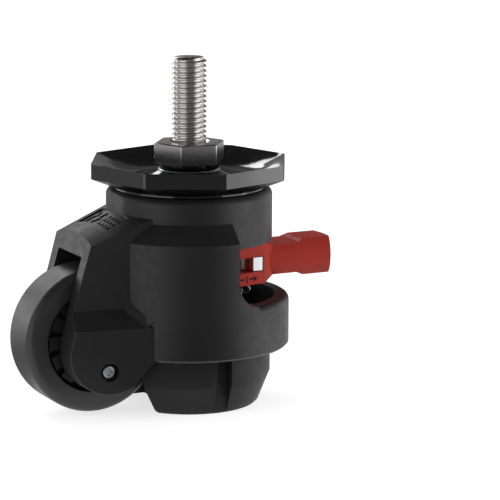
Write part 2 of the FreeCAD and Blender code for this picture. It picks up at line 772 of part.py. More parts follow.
def lever():
    head = Part.Face(head_plan())
    head.translate(vec(0, 0, LEVER_Z - 2 * HEAD_HALF_H))
    body = head.extrude(vec(0, 0, 4 * HEAD_HALF_H)).fuse(lever_bar())
    body = body.common(side_prism(lever_side(), 2 * HEAD_R))
    body = body.fuse(disc(LOWER_BOSS_R, LEVER_LOW_Z, HEAD_LOW_Z))
    low_z = LEVER_Z - WINDOW_SLOT_H / 2.0
    high_z = LEVER_Z + WINDOW_SLOT_H / 2.0
    slot = box(WINDOW_LEFT_X, WINDOW_RIGHT_X, -2 * HEAD_R, 2 * HEAD_R, low_z, high_z)
    slot = slot.cut(box(DETENT_BLOCK_X, WINDOW_RIGHT_X, -DETENT_HALF_W, DETENT_HALF_W, low_z, high_z))
    pin_half = PIN_LEN / 2.0
    groove = Part.makeTorus(CLIP_R, CLIP_WIRE_R + SEAT, vec(0, 0, clip_z()))
    cuts = [
        slot,
        disc(NUT_JOURNAL_R + RUN, LEVER_LOW_Z - 1.0, HEAD_TOP_Z + 1.0),
        disc(PIN_R + SEAT, LEVER_Z - pin_half, LEVER_Z + pin_half, PAWL_X),
        long_disc(BALL_R + RUN, DETENT_BLOCK_X - 1.0, SPRING_END_X, LEVER_Z),
        long_disc(PLUG_R + SEAT, SPRING_END_X, PLUG_END_X, LEVER_Z),
        long_disc(TIP_HOLE_R, PLUG_END_X, GRIP_END_X + 1.0, LEVER_Z),
        groove,
    ]
    cuts.extend(clip_leg(angle, SEAT) for angle in CLIP_ANGLES)
    return body.cut(cuts).removeSplitter()


def clip_z():
    return LEVER_LOW_Z + LOWER_BOSS_H / 2.0


def eye_z():
    return HEAD_LOW_Z - CLIP_EYE_R - CLIP_WIRE_R - FACE


def clip_leg(angle, grow):
    """Straight end of the clip, from its band out to one eye."""
    start = vec(*polar(CLIP_R, angle), clip_z())
    end = vec(*polar(CLIP_EYE_DISTANCE - CLIP_EYE_R, angle), eye_z())
    leg = Part.makeCylinder(CLIP_WIRE_R + grow, (end - start).Length, start, end - start)
    return leg.fuse(Part.makeSphere(CLIP_WIRE_R + grow, start))


def lever_clip():
    """Round-wire clip in the groove of the lever's lower boss, its ends curled into eyes."""
    z = clip_z()
    first, last = CLIP_ANGLES
    sweep = 360.0 + last - first
    band = Part.makeTorus(CLIP_R, CLIP_WIRE_R, vec(0, 0, z), vec(0, 0, 1), 0, 360, sweep)
    band.rotate(vec(0, 0, z), vec(0, 0, 1), first)
    pieces = []
    for angle in CLIP_ANGLES:
        x, y = polar(1.0, angle)
        centre = vec(*polar(CLIP_EYE_DISTANCE, angle), eye_z())
        pieces.append(clip_leg(angle, 0.0))
        pieces.append(Part.makeTorus(CLIP_EYE_R, CLIP_WIRE_R, centre, vec(y, -x, 0)))
    return band.fuse(pieces)


def pawl_pin():
    half = PIN_LEN / 2.0
    return disc(PIN_R, LEVER_Z - half, LEVER_Z + half, PAWL_X)


def selector_pawl():
    """Rocking selector with a nose and a slanted knob on each arm, turned to its end position."""
    z0 = LEVER_Z - PAWL_H / 2.0
    z1 = LEVER_Z + PAWL_H / 2.0
    half = PAWL_W / 2.0
    foot = PAWL_X * math.sin(math.radians(PAWL_ANGLE))
    slant = half * math.tan(math.radians(PAWL_ANGLE))
    nose = half + PAWL_NOSE
    side = [
        (-half, 0), (-half, foot - half), (-nose, foot - half / 3), (-nose, foot + half / 3),
        (-half, foot + half), (-half, PAWL_ARM - slant), (half, PAWL_ARM + slant), (half, 0),
    ]
    upper = [(PAWL_X + x, y) for x, y in side]
    arm = plan_prism(upper, z0, z1)
    pawl = arm.fuse([mirrored_y(arm), disc(PAWL_HUB_R, z0, z1, PAWL_X)])
    cuts = [disc(PIN_R + RUN, z0 - 1.0, z1 + 1.0, PAWL_X)]
    for sign in (1, -1):
        x, y = polar(PAWL_HUB_R + BALL_R + FREE, sign * PAWL_ANGLE)
        cuts.append(disc(BALL_R + PAWL_CUP_CLEAR, z0 - 1.0, z1 + 1.0, PAWL_X + x, y))
    pawl = pawl.cut(cuts).removeSplitter()
    pawl.rotate(vec(PAWL_X, 0, 0), vec(0, 0, 1), PAWL_ANGLE)
    return pawl


def ball_x():
    return PAWL_X + PAWL_HUB_R + FREE + BALL_R


def detent_ball():
    return Part.makeSphere(BALL_R, vec(ball_x(), 0, LEVER_Z))


def detent_spring():
    start = ball_x() + BALL_R + SPRING_WIRE_R
    length = SPRING_END_X - SPRING_WIRE_R - start
    helix = Part.makeHelix(length / SPRING_TURNS, length, SPRING_R)
    wire = Part.Wire(helix.Edges)
    circle = Part.makeCircle(SPRING_WIRE_R, vec(SPRING_R, 0, 0), vec(0, 1, 0))
    coil = wire.makePipeShell([Part.Wire([circle])], True, True)
    coil.rotate(vec(0, 0, 0), vec(0, 1, 0), 90)
    coil.translate(vec(start, 0, LEVER_Z))
    return coil


def detent_plug():
    plug = long_disc(PLUG_R, SPRING_END_X, PLUG_END_X, LEVER_Z)
    socket = hexagon(PLUG_R, 0, PLUG_LEN / 2.0, 0)
    socket.rotate(vec(0, 0, 0), vec(0, 1, 0), 90)
    socket.translate(vec(PLUG_END_X - PLUG_LEN / 2.0, 0, LEVER_Z))
    return plug.cut(socket)


# Swivel head


def ball_groove():
    return Part.makeTorus(SWIVEL_PITCH_R, SWIVEL_BALL_R + FACE, vec(0, 0, BALL_Z))


def lower_race():
    race = ring(RACE_R, STEM_BUSH_R + SEAT, RACE_FLOOR_Z, RACE_TOP_Z)
    return race.cut(ball_groove())


def swivel_balls():
    balls = []
    for k in range(BALL_COUNT):
        x, y = polar(SWIVEL_PITCH_R, 360.0 * k / BALL_COUNT)
        balls.append(Part.makeSphere(SWIVEL_BALL_R, vec(x, y, BALL_Z)))
    return Part.makeCompound(balls)


def stem_bushing():
    return ring(STEM_BUSH_R, SHANK_R + RUN, RACE_FLOOR_Z, RACE_TOP_Z)


def octagon(flats, z):
    radius = flats / 2.0 / math.cos(math.pi / 8)
    return [vec(*polar(radius, PLATE_TURN - 45.0 * k), z) for k in range(8)]


def octagon_to_circle(flats, flats_z, radius, circle_z):
    """Solid lofted between an octagon at one height and a circle at another."""
    corners = octagon(flats, flats_z)
    arcs = []
    for k in range(8):
        start = vec(*polar(radius, PLATE_TURN - 45.0 * k), circle_z)
        middle = vec(*polar(radius, PLATE_TURN - 45.0 * k - 22.5), circle_z)
        end = vec(*polar(radius, PLATE_TURN - 45.0 * (k + 1)), circle_z)
        arcs.append(Part.Arc(start, middle, end).toShape())
    return Part.makeLoft([Part.makePolygon(corners + corners[:1]), Part.Wire(arcs)], True, True)


def top_plate():
    """Octagonal plate: upright rim, sloping underside, dished middle and a boss round the stem."""
    corners = octagon(PLATE_FLATS, PLATE_RIM_Z)
    rim = Part.Face(Part.makePolygon(corners + corners[:1])).extrude(vec(0, 0, PLATE_RIM_H))
    plate = rim.fuse(octagon_to_circle(PLATE_FLATS, PLATE_RIM_Z, PLATE_LIP_R, PLATE_BOTTOM_Z))
    return plate.cut([dish_facets(), dish_hollow(), ball_groove(), disc(SHANK_R + SEAT, 0, STEM_TOP_Z)])


def dish_facets():
    """Eight facets that slope from the plate's sharp top edge to its round floor."""
    floor_z = PLATE_TOP_Z - PLATE_DISH_DROP
    half = PLATE_FLATS / 2.0
    grow = 1.0 + DISH_LIFT * (half - PLATE_DISH_R) / PLATE_DISH_DROP / half
    return octagon_to_circle(PLATE_FLATS * grow, PLATE_TOP_Z + DISH_LIFT, PLATE_DISH_R, floor_z)


def dish_hollow():
    """Ring-shaped hollow in the plate's floor, between the rim and the boss."""
    floor_z = PLATE_TOP_Z - PLATE_DISH_DROP
    deep_z = PLATE_TOP_Z - PLATE_HOLLOW_DROP
    profile = [vec(PLATE_BOSS_R, 0, floor_z), vec(PLATE_HOLLOW_R, 0, deep_z), vec(PLATE_DISH_R, 0, floor_z)]
    bowl = Part.BSplineCurve()
    bowl.interpolate(profile)
    lid = Part.makeLine(profile[2], profile[0])
    face = Part.Face(Part.Wire([bowl.toShape(), lid]))
    return face.revolve(vec(0, 0, 0), vec(0, 0, 1), 360)


def lock_washer():
    washer = ring(LOCK_WASHER_R, SHANK_R + SEAT, PLATE_BOSS_Z, LOCK_TOP_Z)
    half = LOCK_WASHER_CUT / 2.0
    low = PLATE_BOSS_Z - LOCK_WASHER_T
    cut = box(0, 2 * LOCK_WASHER_R, -half, half, low, LOCK_TOP_Z + LOCK_WASHER_T)
    cut.rotate(vec(0, 0, (PLATE_BOSS_Z + LOCK_TOP_Z) / 2), vec(1, 0, 0), LOCK_WASHER_SLANT)
    cut.rotate(vec(0, 0, 0), vec(0, 0, 1), LOCK_WASHER_TURN)
    return washer.cut(cut)


def hex_nut():
    top = LOCK_TOP_Z + NUT_H
    nut = hexagon(NUT_FLATS, LOCK_TOP_Z, top, NUT_TURN)
    rise = math.tan(math.radians(NUT_CHAMFER_ANGLE))
    flat_r = NUT_FLATS / 2.0 * NUT_FACE_PART
    round_off = turned([(0, LOCK_TOP_Z), (flat_r + NUT_H / rise, LOCK_TOP_Z), (flat_r, top), (0, top)])
    funnel_r = STEM_R + NUT_FUNNEL
    funnel = turned([(0, top - funnel_r * rise), (funnel_r, top), (0, top)])
    nut = nut.common(round_off)
    return nut.cut([disc(SHANK_R + SEAT, 0, STEM_TOP_Z), funnel])


def stem():
    head = hexagon(BOLT_HEAD_FLATS, BOLT_HEAD_TOP_Z - BOLT_HEAD_H, BOLT_HEAD_TOP_Z, 0)
    thread_z = LOCK_TOP_Z + NUT_H + STEM_RELIEF
    c = STEM_CHAMFER
    shank = turned([
        (0, BOLT_HEAD_TOP_Z), (SHANK_R, BOLT_HEAD_TOP_Z), (SHANK_R, thread_z), (STEM_R, thread_z),
        (STEM_R, STEM_TOP_Z - c), (STEM_R - c, STEM_TOP_Z), (0, STEM_TOP_Z),
    ])
    return head.fuse(shank)


def king_washer():
    return ring(KING_WASHER_R, SHANK_R + SEAT, BOLT_HEAD_TOP_Z, BOLT_HEAD_TOP_Z + KING_WASHER_T)


def pair(shape):
    return Part.makeCompound([shape, mirrored_y(shape)])


NODES = {
    "housing": housing,
    "lower_race": lower_race,
    "swivel_balls": swivel_balls,
    "stem_bushing": stem_bushing,
    "thrust_washer": thrust_washer,
    "axle": axle,
    "axle_plate_left": axle_plate,
    "axle_plate_right": lambda: mirrored_y(axle_plate()),
    "axle_screws": lambda: pair(axle_screw()),
    "axle_washers": lambda: pair(axle_washer()),
    "tyre": tyre,
    "wheel_core": wheel_core,
    "wheel_bushing_left": wheel_bushing,
    "wheel_bushing_right": lambda: mirrored_y(wheel_bushing()),
    "foot_pad": foot_pad,
    "foot_spindle": foot_spindle,
    "ratchet_nut": ratchet_nut,
    "hub_circlip": hub_circlip,
    "lever": lever,
    "lever_clip": lever_clip,
    "pawl_pin": pawl_pin,
    "selector_pawl": selector_pawl,
    "detent_ball": detent_ball,
    "detent_spring": detent_spring,
    "detent_plug": detent_plug,
    "top_plate": top_plate,
    "lock_washer": lock_washer,
    "hex_nut": hex_nut,
    "stem": stem,
    "king_washer": king_washer,
}


def main():
    os.makedirs("parts", exist_ok=True)
    for name, make in NODES.items():
        shape = make()
        shape.exportStep("parts/" + name + ".step")
        print(name, len(shape.Solids), shape.isValid(), round(shape.Volume, 1))


main()
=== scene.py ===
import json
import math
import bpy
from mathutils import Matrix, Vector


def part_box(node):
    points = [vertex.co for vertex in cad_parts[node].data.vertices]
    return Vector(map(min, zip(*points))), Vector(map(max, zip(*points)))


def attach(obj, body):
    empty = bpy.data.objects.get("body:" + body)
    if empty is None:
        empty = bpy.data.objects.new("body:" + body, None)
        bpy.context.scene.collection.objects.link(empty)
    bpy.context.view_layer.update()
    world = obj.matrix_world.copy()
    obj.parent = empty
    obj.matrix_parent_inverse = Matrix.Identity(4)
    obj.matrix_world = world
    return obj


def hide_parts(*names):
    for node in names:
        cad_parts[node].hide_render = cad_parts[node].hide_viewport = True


bl_info = {
    "name": "Levelling castor",
    "version": (1, 0, 0),
    "blender": (4, 5, 0),
    "location": "View3D > Sidebar > Castor",
    "description": "Gives the levelling castor its thread, bearing, rounded edges, finishes and studio",
    "category": "Object",
}

import bmesh
import bpy
from bpy.props import FloatProperty, FloatVectorProperty, IntProperty, PointerProperty
from mathutils import Matrix, Vector
from mathutils.bvhtree import BVHTree

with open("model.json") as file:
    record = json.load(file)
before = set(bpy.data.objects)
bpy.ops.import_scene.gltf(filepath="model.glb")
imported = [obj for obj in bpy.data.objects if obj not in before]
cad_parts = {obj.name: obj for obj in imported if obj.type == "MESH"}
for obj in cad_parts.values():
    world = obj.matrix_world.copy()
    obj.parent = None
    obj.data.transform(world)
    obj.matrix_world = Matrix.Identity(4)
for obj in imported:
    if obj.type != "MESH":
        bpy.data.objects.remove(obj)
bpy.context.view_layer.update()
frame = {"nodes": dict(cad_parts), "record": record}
NODES = frame["nodes"]
BODY_OF = {
    node: body
    for body, members in frame["record"]["behaviour"]["bodies"].items()
    for node in members
}
SLOT_OF = {part["node"]: part["material_slot"] for part in frame["record"]["subparts"]}

MM = 0.001
FINE = 1e-6


# Sizes and colours a user may change


class CastorEdges(bpy.types.PropertyGroup):
    plastic: FloatProperty(
        name="Plastic edge", description="Radius on the edges of the moulded parts",
        default=0.35 * MM, min=0.0, unit="LENGTH",
    )
    lever: FloatProperty(
        name="Lever edge", description="Radius on the edges of the lever",
        default=0.16 * MM, min=0.0, unit="LENGTH",
    )
    rim: FloatProperty(
        name="Cup rim", description="Radius on the outer edge of the cup's rim",
        default=2.0 * MM, min=0.0, unit="LENGTH",
    )
    cheek: FloatProperty(
        name="Cheek edge", description="Radius on the front outline of the fork's cheeks",
        default=1.3 * MM, min=0.0, unit="LENGTH",
    )
    corner: FloatProperty(
        name="Plate corner", description="Radius on the corners between the flats of the plate's rim",
        default=0.7 * MM, min=0.0, unit="LENGTH",
    )
    core: FloatProperty(
        name="Wheel core edge", description="Radius on the edges of the wheel's moulded core",
        default=0.2 * MM, min=0.0, unit="LENGTH",
    )
    metal: FloatProperty(
        name="Metal edge", description="Radius on the edges of plate, nut and small metal parts",
        default=0.22 * MM, min=0.0, unit="LENGTH",
    )


class CastorThread(bpy.types.PropertyGroup):
    pitch: FloatProperty(
        name="Stem pitch", description="Rise of the stem's thread in one turn",
        default=1.75 * MM, min=0.5 * MM, unit="LENGTH",
    )
    depth: FloatProperty(
        name="Stem depth", description="Depth of the stem's thread",
        default=1.02 * MM, min=0.1 * MM, unit="LENGTH",
    )
    spindle_pitch: FloatProperty(
        name="Spindle pitch", description="Rise of the foot spindle's thread in one turn",
        default=2.0 * MM, min=0.5 * MM, unit="LENGTH",
    )
    spindle_depth: FloatProperty(
        name="Spindle depth", description="Depth of the foot spindle's thread",
        default=1.0 * MM, min=0.1 * MM, unit="LENGTH",
    )
    segments: IntProperty(
        name="Segments", description="Faces round one turn of a thread", default=72, min=12,
    )


class CastorBearing(bpy.types.PropertyGroup):
    balls: IntProperty(name="Balls", description="Balls in the swivel race", default=20, min=3)


class CastorFinish(bpy.types.PropertyGroup):
    nylon: FloatVectorProperty(
        name="Nylon", description="Colour of the moulded housing", subtype="COLOR",
        default=(0.0142, 0.0142, 0.0142), min=0.0, max=1.0,
    )
    tread: FloatVectorProperty(
        name="Tread", description="Colour of the wheel's tread", subtype="COLOR",
        default=(0.023, 0.023, 0.023), min=0.0, max=1.0,
    )
    lever: FloatVectorProperty(
        name="Lever", description="Colour of the lever", subtype="COLOR",
        default=(0.50, 0.036, 0.024), min=0.0, max=1.0,
    )
    coat: FloatVectorProperty(
        name="Coat", description="Colour of the gloss coat on the plate", subtype="COLOR",
        default=(0.006, 0.006, 0.006), min=0.0, max=1.0,
    )
    stainless: FloatVectorProperty(
        name="Stainless", description="Colour of the bright stem", subtype="COLOR",
        default=(0.70, 0.68, 0.65), min=0.0, max=1.0,
    )
    steel: FloatVectorProperty(
        name="Steel", description="Colour of the satin steel nut", subtype="COLOR",
        default=(0.72, 0.71, 0.71), min=0.0, max=1.0,
    )
    zinc: FloatVectorProperty(
        name="Zinc", description="Colour of plated fasteners", subtype="COLOR",
        default=(0.62, 0.66, 0.68), min=0.0, max=1.0,
    )
    # Painted shade: a darker steel colour for the small parts that sit in shade inside the castor, and
    # for the spring washer under the nut
    shade_dark: FloatVectorProperty(
        name="Blackened", description="Colour of the blackened steel inside the castor", subtype="COLOR",
        default=(0.035, 0.034, 0.033), min=0.0, max=1.0,
    )
    bronze: FloatVectorProperty(
        name="Bronze", description="Colour of the plain bearings", subtype="COLOR",
        default=(0.50, 0.34, 0.17), min=0.0, max=1.0,
    )


class CastorStudio(bpy.types.PropertyGroup):
    azimuth: FloatProperty(
        name="Azimuth", description="Camera's angle round the castor",
        default=math.radians(-25.5), subtype="ANGLE",
    )
    elevation: FloatProperty(
        name="Elevation", description="Camera's angle above the floor",
        default=math.radians(11.2), subtype="ANGLE",
    )
    distance: FloatProperty(
        name="Distance", description="Camera's distance from the middle of the castor",
        default=900 * MM, unit="LENGTH",
    )
    lens: FloatProperty(
        name="Lens", description="Focal length in millimetres", default=186.2, unit="CAMERA",
    )
    aim_right: FloatProperty(
        name="Aim right", description="Turn of the camera to its right, away from the castor",
        default=math.radians(1.35), subtype="ANGLE",
    )
    aim_up: FloatProperty(
        name="Aim up", description="Turn of the camera upwards",
        default=math.radians(0.186), subtype="ANGLE",
    )
    target_height: FloatProperty(
        name="Target height", description="Height that the camera looks at",
        default=50 * MM, unit="LENGTH",
    )


class CastorSettings(bpy.types.PropertyGroup):
    edges: PointerProperty(type=CastorEdges)
    thread: PointerProperty(type=CastorThread)
    bearing: PointerProperty(type=CastorBearing)
    finish: PointerProperty(type=CastorFinish)
    studio: PointerProperty(type=CastorStudio)


def settings():
    return bpy.context.scene.castor


def add_node(tree, kind, inputs, options):
    """Adds a node to a shader or geometry tree, sets its options, and sets or links its inputs."""
    made = tree.nodes.new(kind)
    for key, value in options.items():
        setattr(made, key, value)
    for key, value in (inputs or {}).items():
        if isinstance(value, bpy.types.NodeSocket):
            tree.links.new(value, made.inputs[key])
        else:
            made.inputs[key].default_value = value
    return made


# Shader trees


class Shader:
    """Adds and links the nodes of one material."""

    def __init__(self, name):
        self.material = bpy.data.materials.new(name)
        self.material.use_nodes = True
        self.tree = self.material.node_tree
        self.surface = self.tree.nodes["Principled BSDF"]
        self.place = self.node("ShaderNodeTexCoord").outputs["Object"]

    def node(self, kind, inputs=None, **options):
        return add_node(self.tree, kind, inputs, options)

    def noise(self, scale, detail=2.0, stretch=(1.0, 1.0, 1.0)):
        mapping = self.node("ShaderNodeMapping", {"Vector": self.place, "Scale": stretch})
        inputs = {"Vector": mapping.outputs["Vector"], "Scale": scale, "Detail": detail}
        return self.node("ShaderNodeTexNoise", inputs).outputs["Fac"]

    def spread(self, value, low, high, start=0.3, end=0.7):
        inputs = {"Value": value, "From Min": start, "From Max": end, "To Min": low, "To Max": high}
        return self.node("ShaderNodeMapRange", inputs).outputs["Result"]

    def tint(self, factor, first, second):
        # The colour sockets share their names with the node's other kinds, so they go by number
        colours = {"Factor": factor, 6: (*first, 1.0), 7: (*second, 1.0)}
        return self.node("ShaderNodeMix", colours, data_type="RGBA").outputs[2]

    def bump(self, height, strength, distance, under=None):
        inputs = {"Height": height, "Strength": strength, "Distance": distance}
        if under is not None:
            inputs["Normal"] = under
        return self.node("ShaderNodeBump", inputs).outputs["Normal"]

    def finish(self, **inputs):
        for key, value in inputs.items():
            socket = self.surface.inputs[key.replace("_", " ")]
            if isinstance(value, bpy.types.NodeSocket):
                self.tree.links.new(value, socket)
            else:
                socket.default_value = value
        return self.material


def scaled(colour, factor):
    return tuple(min(1.0, c * factor) for c in colour)


def moulded(name, colour, rough, grain, speck=1.25, shine=0.52):
    """Moulded nylon: fine grain, faint flow marks and a slightly uneven sheen."""
    shader = Shader(name)
    flow = shader.noise(55.0, 3.0, (1.0, 1.0, 0.35))
    fine = shader.noise(2600.0, 2.0)
    coarse = shader.noise(420.0, 2.0)
    colour_out = shader.tint(shader.spread(flow, 0.0, 1.0), scaled(colour, 0.9), scaled(colour, speck))
    rough_out = shader.spread(coarse, rough - 0.05, rough + 0.06)
    skin = shader.bump(fine, grain, 0.05 * MM)
    skin = shader.bump(flow, 0.05, 0.2 * MM, skin)
    shader.surface.inputs["Specular IOR Level"].default_value = shine
    return shader.finish(Base_Color=colour_out, Roughness=rough_out, Normal=skin)


def rubbery(name, colour):
    """Hard polyurethane-like tread: smooth, with faint rolling marks."""
    shader = Shader(name)
    marks = shader.noise(260.0, 4.0, (1.0, 0.25, 1.0))
    fine = shader.noise(3000.0, 1.0)
    colour_out = shader.tint(shader.spread(marks, 0.0, 1.0), scaled(colour, 0.88), scaled(colour, 1.2))
    rough_out = shader.spread(marks, 0.38, 0.46)
    shader.surface.inputs["Specular IOR Level"].default_value = 0.65
    skin = shader.bump(fine, 0.08, 0.03 * MM)
    return shader.finish(Base_Color=colour_out, Roughness=rough_out, Normal=skin)


def turned_metal(name, colour, rough, stretch, lines=900.0, depth=0.12):
    """Metal with fine tool marks that run across the stretched axis."""
    shader = Shader(name)
    marks = shader.noise(lines, 3.0, stretch)
    patches = shader.noise(90.0, 2.0)
    colour_out = shader.tint(shader.spread(patches, 0.0, 1.0), scaled(colour, 0.92), scaled(colour, 1.08))
    rough_out = shader.spread(marks, rough - 0.04, rough + 0.06)
    skin = shader.bump(marks, depth, 0.02 * MM)
    return shader.finish(Base_Color=colour_out, Metallic=1.0, Roughness=rough_out, Normal=skin)


def coated(name, colour):
    """Gloss black coat over pressed steel, with a faint orange peel."""
    shader = Shader(name)
    peel = shader.noise(340.0, 1.0)
    dust = shader.noise(1500.0, 3.0)
    colour_out = shader.tint(shader.spread(dust, 0.0, 1.0), colour, scaled(colour, 1.3))
    rough_out = shader.spread(dust, 0.09, 0.13)
    skin = shader.bump(peel, 0.03, 0.05 * MM)
    made = shader.finish(Base_Color=colour_out, Roughness=rough_out, Normal=skin)
    shader.surface.inputs["Specular IOR Level"].default_value = 0.8
    shader.surface.inputs["Coat Weight"].default_value = 0.4
    shader.surface.inputs["Coat Roughness"].default_value = 0.06
    return made


FINISHES = {}


def finishes():
    """All finishes by the record's slot name, made once."""
    if FINISHES:
        return FINISHES
    look = settings().finish
    rings = (0.05, 0.05, 1.0)
    even = (1.0, 1.0, 1.0)
    # Plastics: name, colour, roughness, grain; metals: name, colour, roughness, stretch of the marks
    FINISHES.update({
        "body_plastic": moulded("black_nylon", look.nylon, 0.46, 0.10),
        "foot_plastic": moulded("foot_nylon", scaled(look.nylon, 1.95), 0.48, 0.12, shine=0.2),
        "core_plastic": moulded("core_nylon", scaled(look.nylon, 1.2), 0.40, 0.08),
        "tread": rubbery("tread_rubber", look.tread),
        "lever_plastic": moulded("red_nylon", look.lever, 0.46, 0.10, speck=1.1, shine=0.25),
        "plate_paint": coated("gloss_black_coat", look.coat),
        "stem_steel": turned_metal("bright_stainless", look.stainless, 0.27, rings, depth=0.06),
        "plated_steel": turned_metal(
            "zinc_plate", scaled(look.zinc, 1.15), 0.34, even, lines=300.0, depth=0.01,
        ),
        "bearing_steel": turned_metal("turned_steel", scaled(look.zinc, 0.6), 0.28, rings),
        "nut_steel": turned_metal("satin_steel", look.steel, 0.22, even, lines=30.0, depth=0.0),
        # Painted shade: this darker steel stands in for the shade on parts inside the castor
        "shade_dark": turned_metal("blackened_steel", look.shade_dark, 0.30, rings),
        "mark": moulded("mark_ink", scaled(look.lever, 0.12), 0.55, 0.05, speck=1.1, shine=0.2),
        "spring_steel": turned_metal("spring_wire", look.zinc, 0.5, even, lines=300.0, depth=0.01),
        "ball_steel": turned_metal(
            "polished_steel", scaled(look.zinc, 1.1), 0.12, even, lines=300.0, depth=0.0,
        ),
        "bronze": turned_metal("sintered_bronze", look.bronze, 0.35, rings),
    })
    return FINISHES


# Meshes


# Degrees below which two faces count as one flat, above which an edge is rounded, and above which
# the shading breaks
FLAT_ANGLE = 0.5
EDGE_ANGLE = 30.0
CREASE = 32.0

# Faces across a narrow rounding and across a wide one
NARROW_STEPS = 2
WIDE_STEPS = 4

# Screw thread: share of the pitch, and share of the depth that is cut away there
THREAD_PROFILE = ((0.0, 0.0), (0.2, 0.0), (0.46, 1.0), (0.74, 1.0))

# An arrow's head as a share of its length, and half its shaft as a share of its width
ARROW_HEAD = 0.45
ARROW_SHAFT = 0.16


def add_object(name, mesh):
    piece = bpy.data.objects.new(name, mesh)
    bpy.context.scene.collection.objects.link(piece)
    return piece


def mesh_from(work, name):
    mesh = bpy.data.meshes.new(name)
    work.normal_update()
    work.to_mesh(mesh)
    work.free()
    return mesh


def smooth_shading(mesh, degrees=CREASE):
    mesh.shade_smooth()
    mesh.set_sharp_from_angle(angle=math.radians(degrees))


def weigh_normals(piece):
    """Shades flat faces flat where they meet narrow rounded edges."""
    modifier = piece.modifiers.new("weigh", "WEIGHTED_NORMAL")
    modifier.keep_sharp = True
    modifier.weight = 80


def round_edges(work, edges, width, segments):
    bmesh.ops.bevel(
        work, geom=edges, offset=width, segments=segments, profile=0.5,
        affect="EDGES", clamp_overlap=True, miter_outer="ARC",
    )


def sharp_edges(work, degrees=EDGE_ANGLE):
    limit = math.radians(degrees)
    return [e for e in work.edges if len(e.link_faces) == 2 and e.calc_face_angle(0.0) > limit]


def softened(node, name, width, wide=(), crease=CREASE):
    """New piece from a CAD node's mesh, its sharp edges rounded: first those that each pair in wide
    chooses, with the pair's own radius, then all that are left."""
    work = bmesh.new()
    work.from_mesh(NODES[node].data)
    bmesh.ops.remove_doubles(work, verts=work.verts, dist=2 * FINE)
    bmesh.ops.dissolve_limit(
        work, angle_limit=math.radians(FLAT_ANGLE), verts=work.verts, edges=work.edges,
    )
    for chosen, wide_radius in wide:
        work.normal_update()
        round_edges(work, [edge for edge in sharp_edges(work) if chosen(edge)], wide_radius, WIDE_STEPS)
    round_edges(work, sharp_edges(work), width, NARROW_STEPS)
    bmesh.ops.triangulate(work, faces=[f for f in work.faces if len(f.verts) > 4])
    mesh = mesh_from(work, name)
    smooth_shading(mesh, crease)
    return add_object(name, mesh)


def lathe(name, outline, segments=128, centre=(0.0, 0.0), across=False, turn=0.0):
    """Closed surface turned from (radius, height) pairs about Z, or about Y through centre."""
    work = bmesh.new()
    rings = []
    for radius, height in outline:
        if radius < FINE:
            rings.append([work.verts.new((0.0, 0.0, height))])
            continue
        ring = []
        for k in range(segments):
            angle = turn + 2 * math.pi * k / segments
            ring.append(work.verts.new((radius * math.cos(angle), radius * math.sin(angle), height)))
        rings.append(ring)
    closed = rings if len(rings[0]) == 1 else rings + rings[:1]
    for low, high in zip(closed, closed[1:]):
        for k in range(segments):
            n = (k + 1) % segments
            if len(low) == 1:
                work.faces.new((low[0], high[n], high[k]))
            elif len(high) == 1:
                work.faces.new((low[k], low[n], high[0]))
            else:
                work.faces.new((low[k], low[n], high[n], high[k]))
    bmesh.ops.recalc_face_normals(work, faces=work.faces)
    if across:
        tip_over = Matrix.Rotation(math.radians(-90.0), 4, "X")
        work.transform(Matrix.Translation((centre[0], 0.0, centre[1])) @ tip_over)
    mesh = mesh_from(work, name)
    smooth_shading(mesh)
    return mesh


def threaded(name, low, high, major, depth, pitch, segments):
    """Right-hand screw thread as one closed surface, flat at both ends and chamfered at the upper one."""
    minor = major - depth
    chamfer_slope = 1.2
    chamfer_step = 0.05 * MM
    turns = math.ceil((high - low) / pitch) + 2
    rows = [(turn + part, major - cut * depth) for turn in range(turns) for part, cut in THREAD_PROFILE]
    work = bmesh.new()
    grid = []
    for phase, radius in rows:
        row = []
        for k in range(segments):
            height = low + (phase + k / segments - 1.0) * pitch
            reach = radius
            if height <= low or height >= high:
                height = min(max(height, low), high)
                reach = minor
            reach = min(reach, minor + (high - height) * chamfer_slope + chamfer_step)
            angle = 2 * math.pi * k / segments
            row.append(work.verts.new((reach * math.cos(angle), reach * math.sin(angle), height)))
        grid.append(row)
    per_turn = len(THREAD_PROFILE)
    for j in range(len(grid) - 1):
        for k in range(segments):
            if k + 1 < segments:
                corners = (grid[j][k], grid[j][k + 1], grid[j + 1][k + 1], grid[j + 1][k])
            elif j + 1 + per_turn < len(grid):
                corners = (grid[j][k], grid[j + per_turn][0], grid[j + 1 + per_turn][0], grid[j + 1][k])
            else:
                continue
            work.faces.new(corners)
    bmesh.ops.remove_doubles(work, verts=work.verts, dist=FINE)
    bmesh.ops.dissolve_degenerate(work, edges=work.edges, dist=FINE)
    rims = [edge for edge in work.edges if edge.is_boundary]
    bmesh.ops.holes_fill(work, edges=rims, sides=0)
    bmesh.ops.recalc_face_normals(work, faces=work.faces)
    mesh = mesh_from(work, name)
    smooth_shading(mesh, degrees=40.0)
    return mesh


def joined(name, meshes):
    """One mesh that holds several, which may reach into each other."""
    work = bmesh.new()
    for mesh in meshes:
        work.from_mesh(mesh)
    return mesh_from(work, name)


def cut_away(piece, cutter):
    """Cuts one object's shape out of another and deletes the cutter."""
    modifier = piece.modifiers.new("cut", "BOOLEAN")
    modifier.operation = "DIFFERENCE"
    modifier.solver = "EXACT"
    modifier.object = cutter
    graph = bpy.context.evaluated_depsgraph_get()
    mesh = bpy.data.meshes.new_from_object(piece.evaluated_get(graph), depsgraph=graph)
    piece.modifiers.clear()
    mesh.name = piece.data.name
    piece.data = mesh
    bpy.data.objects.remove(cutter)


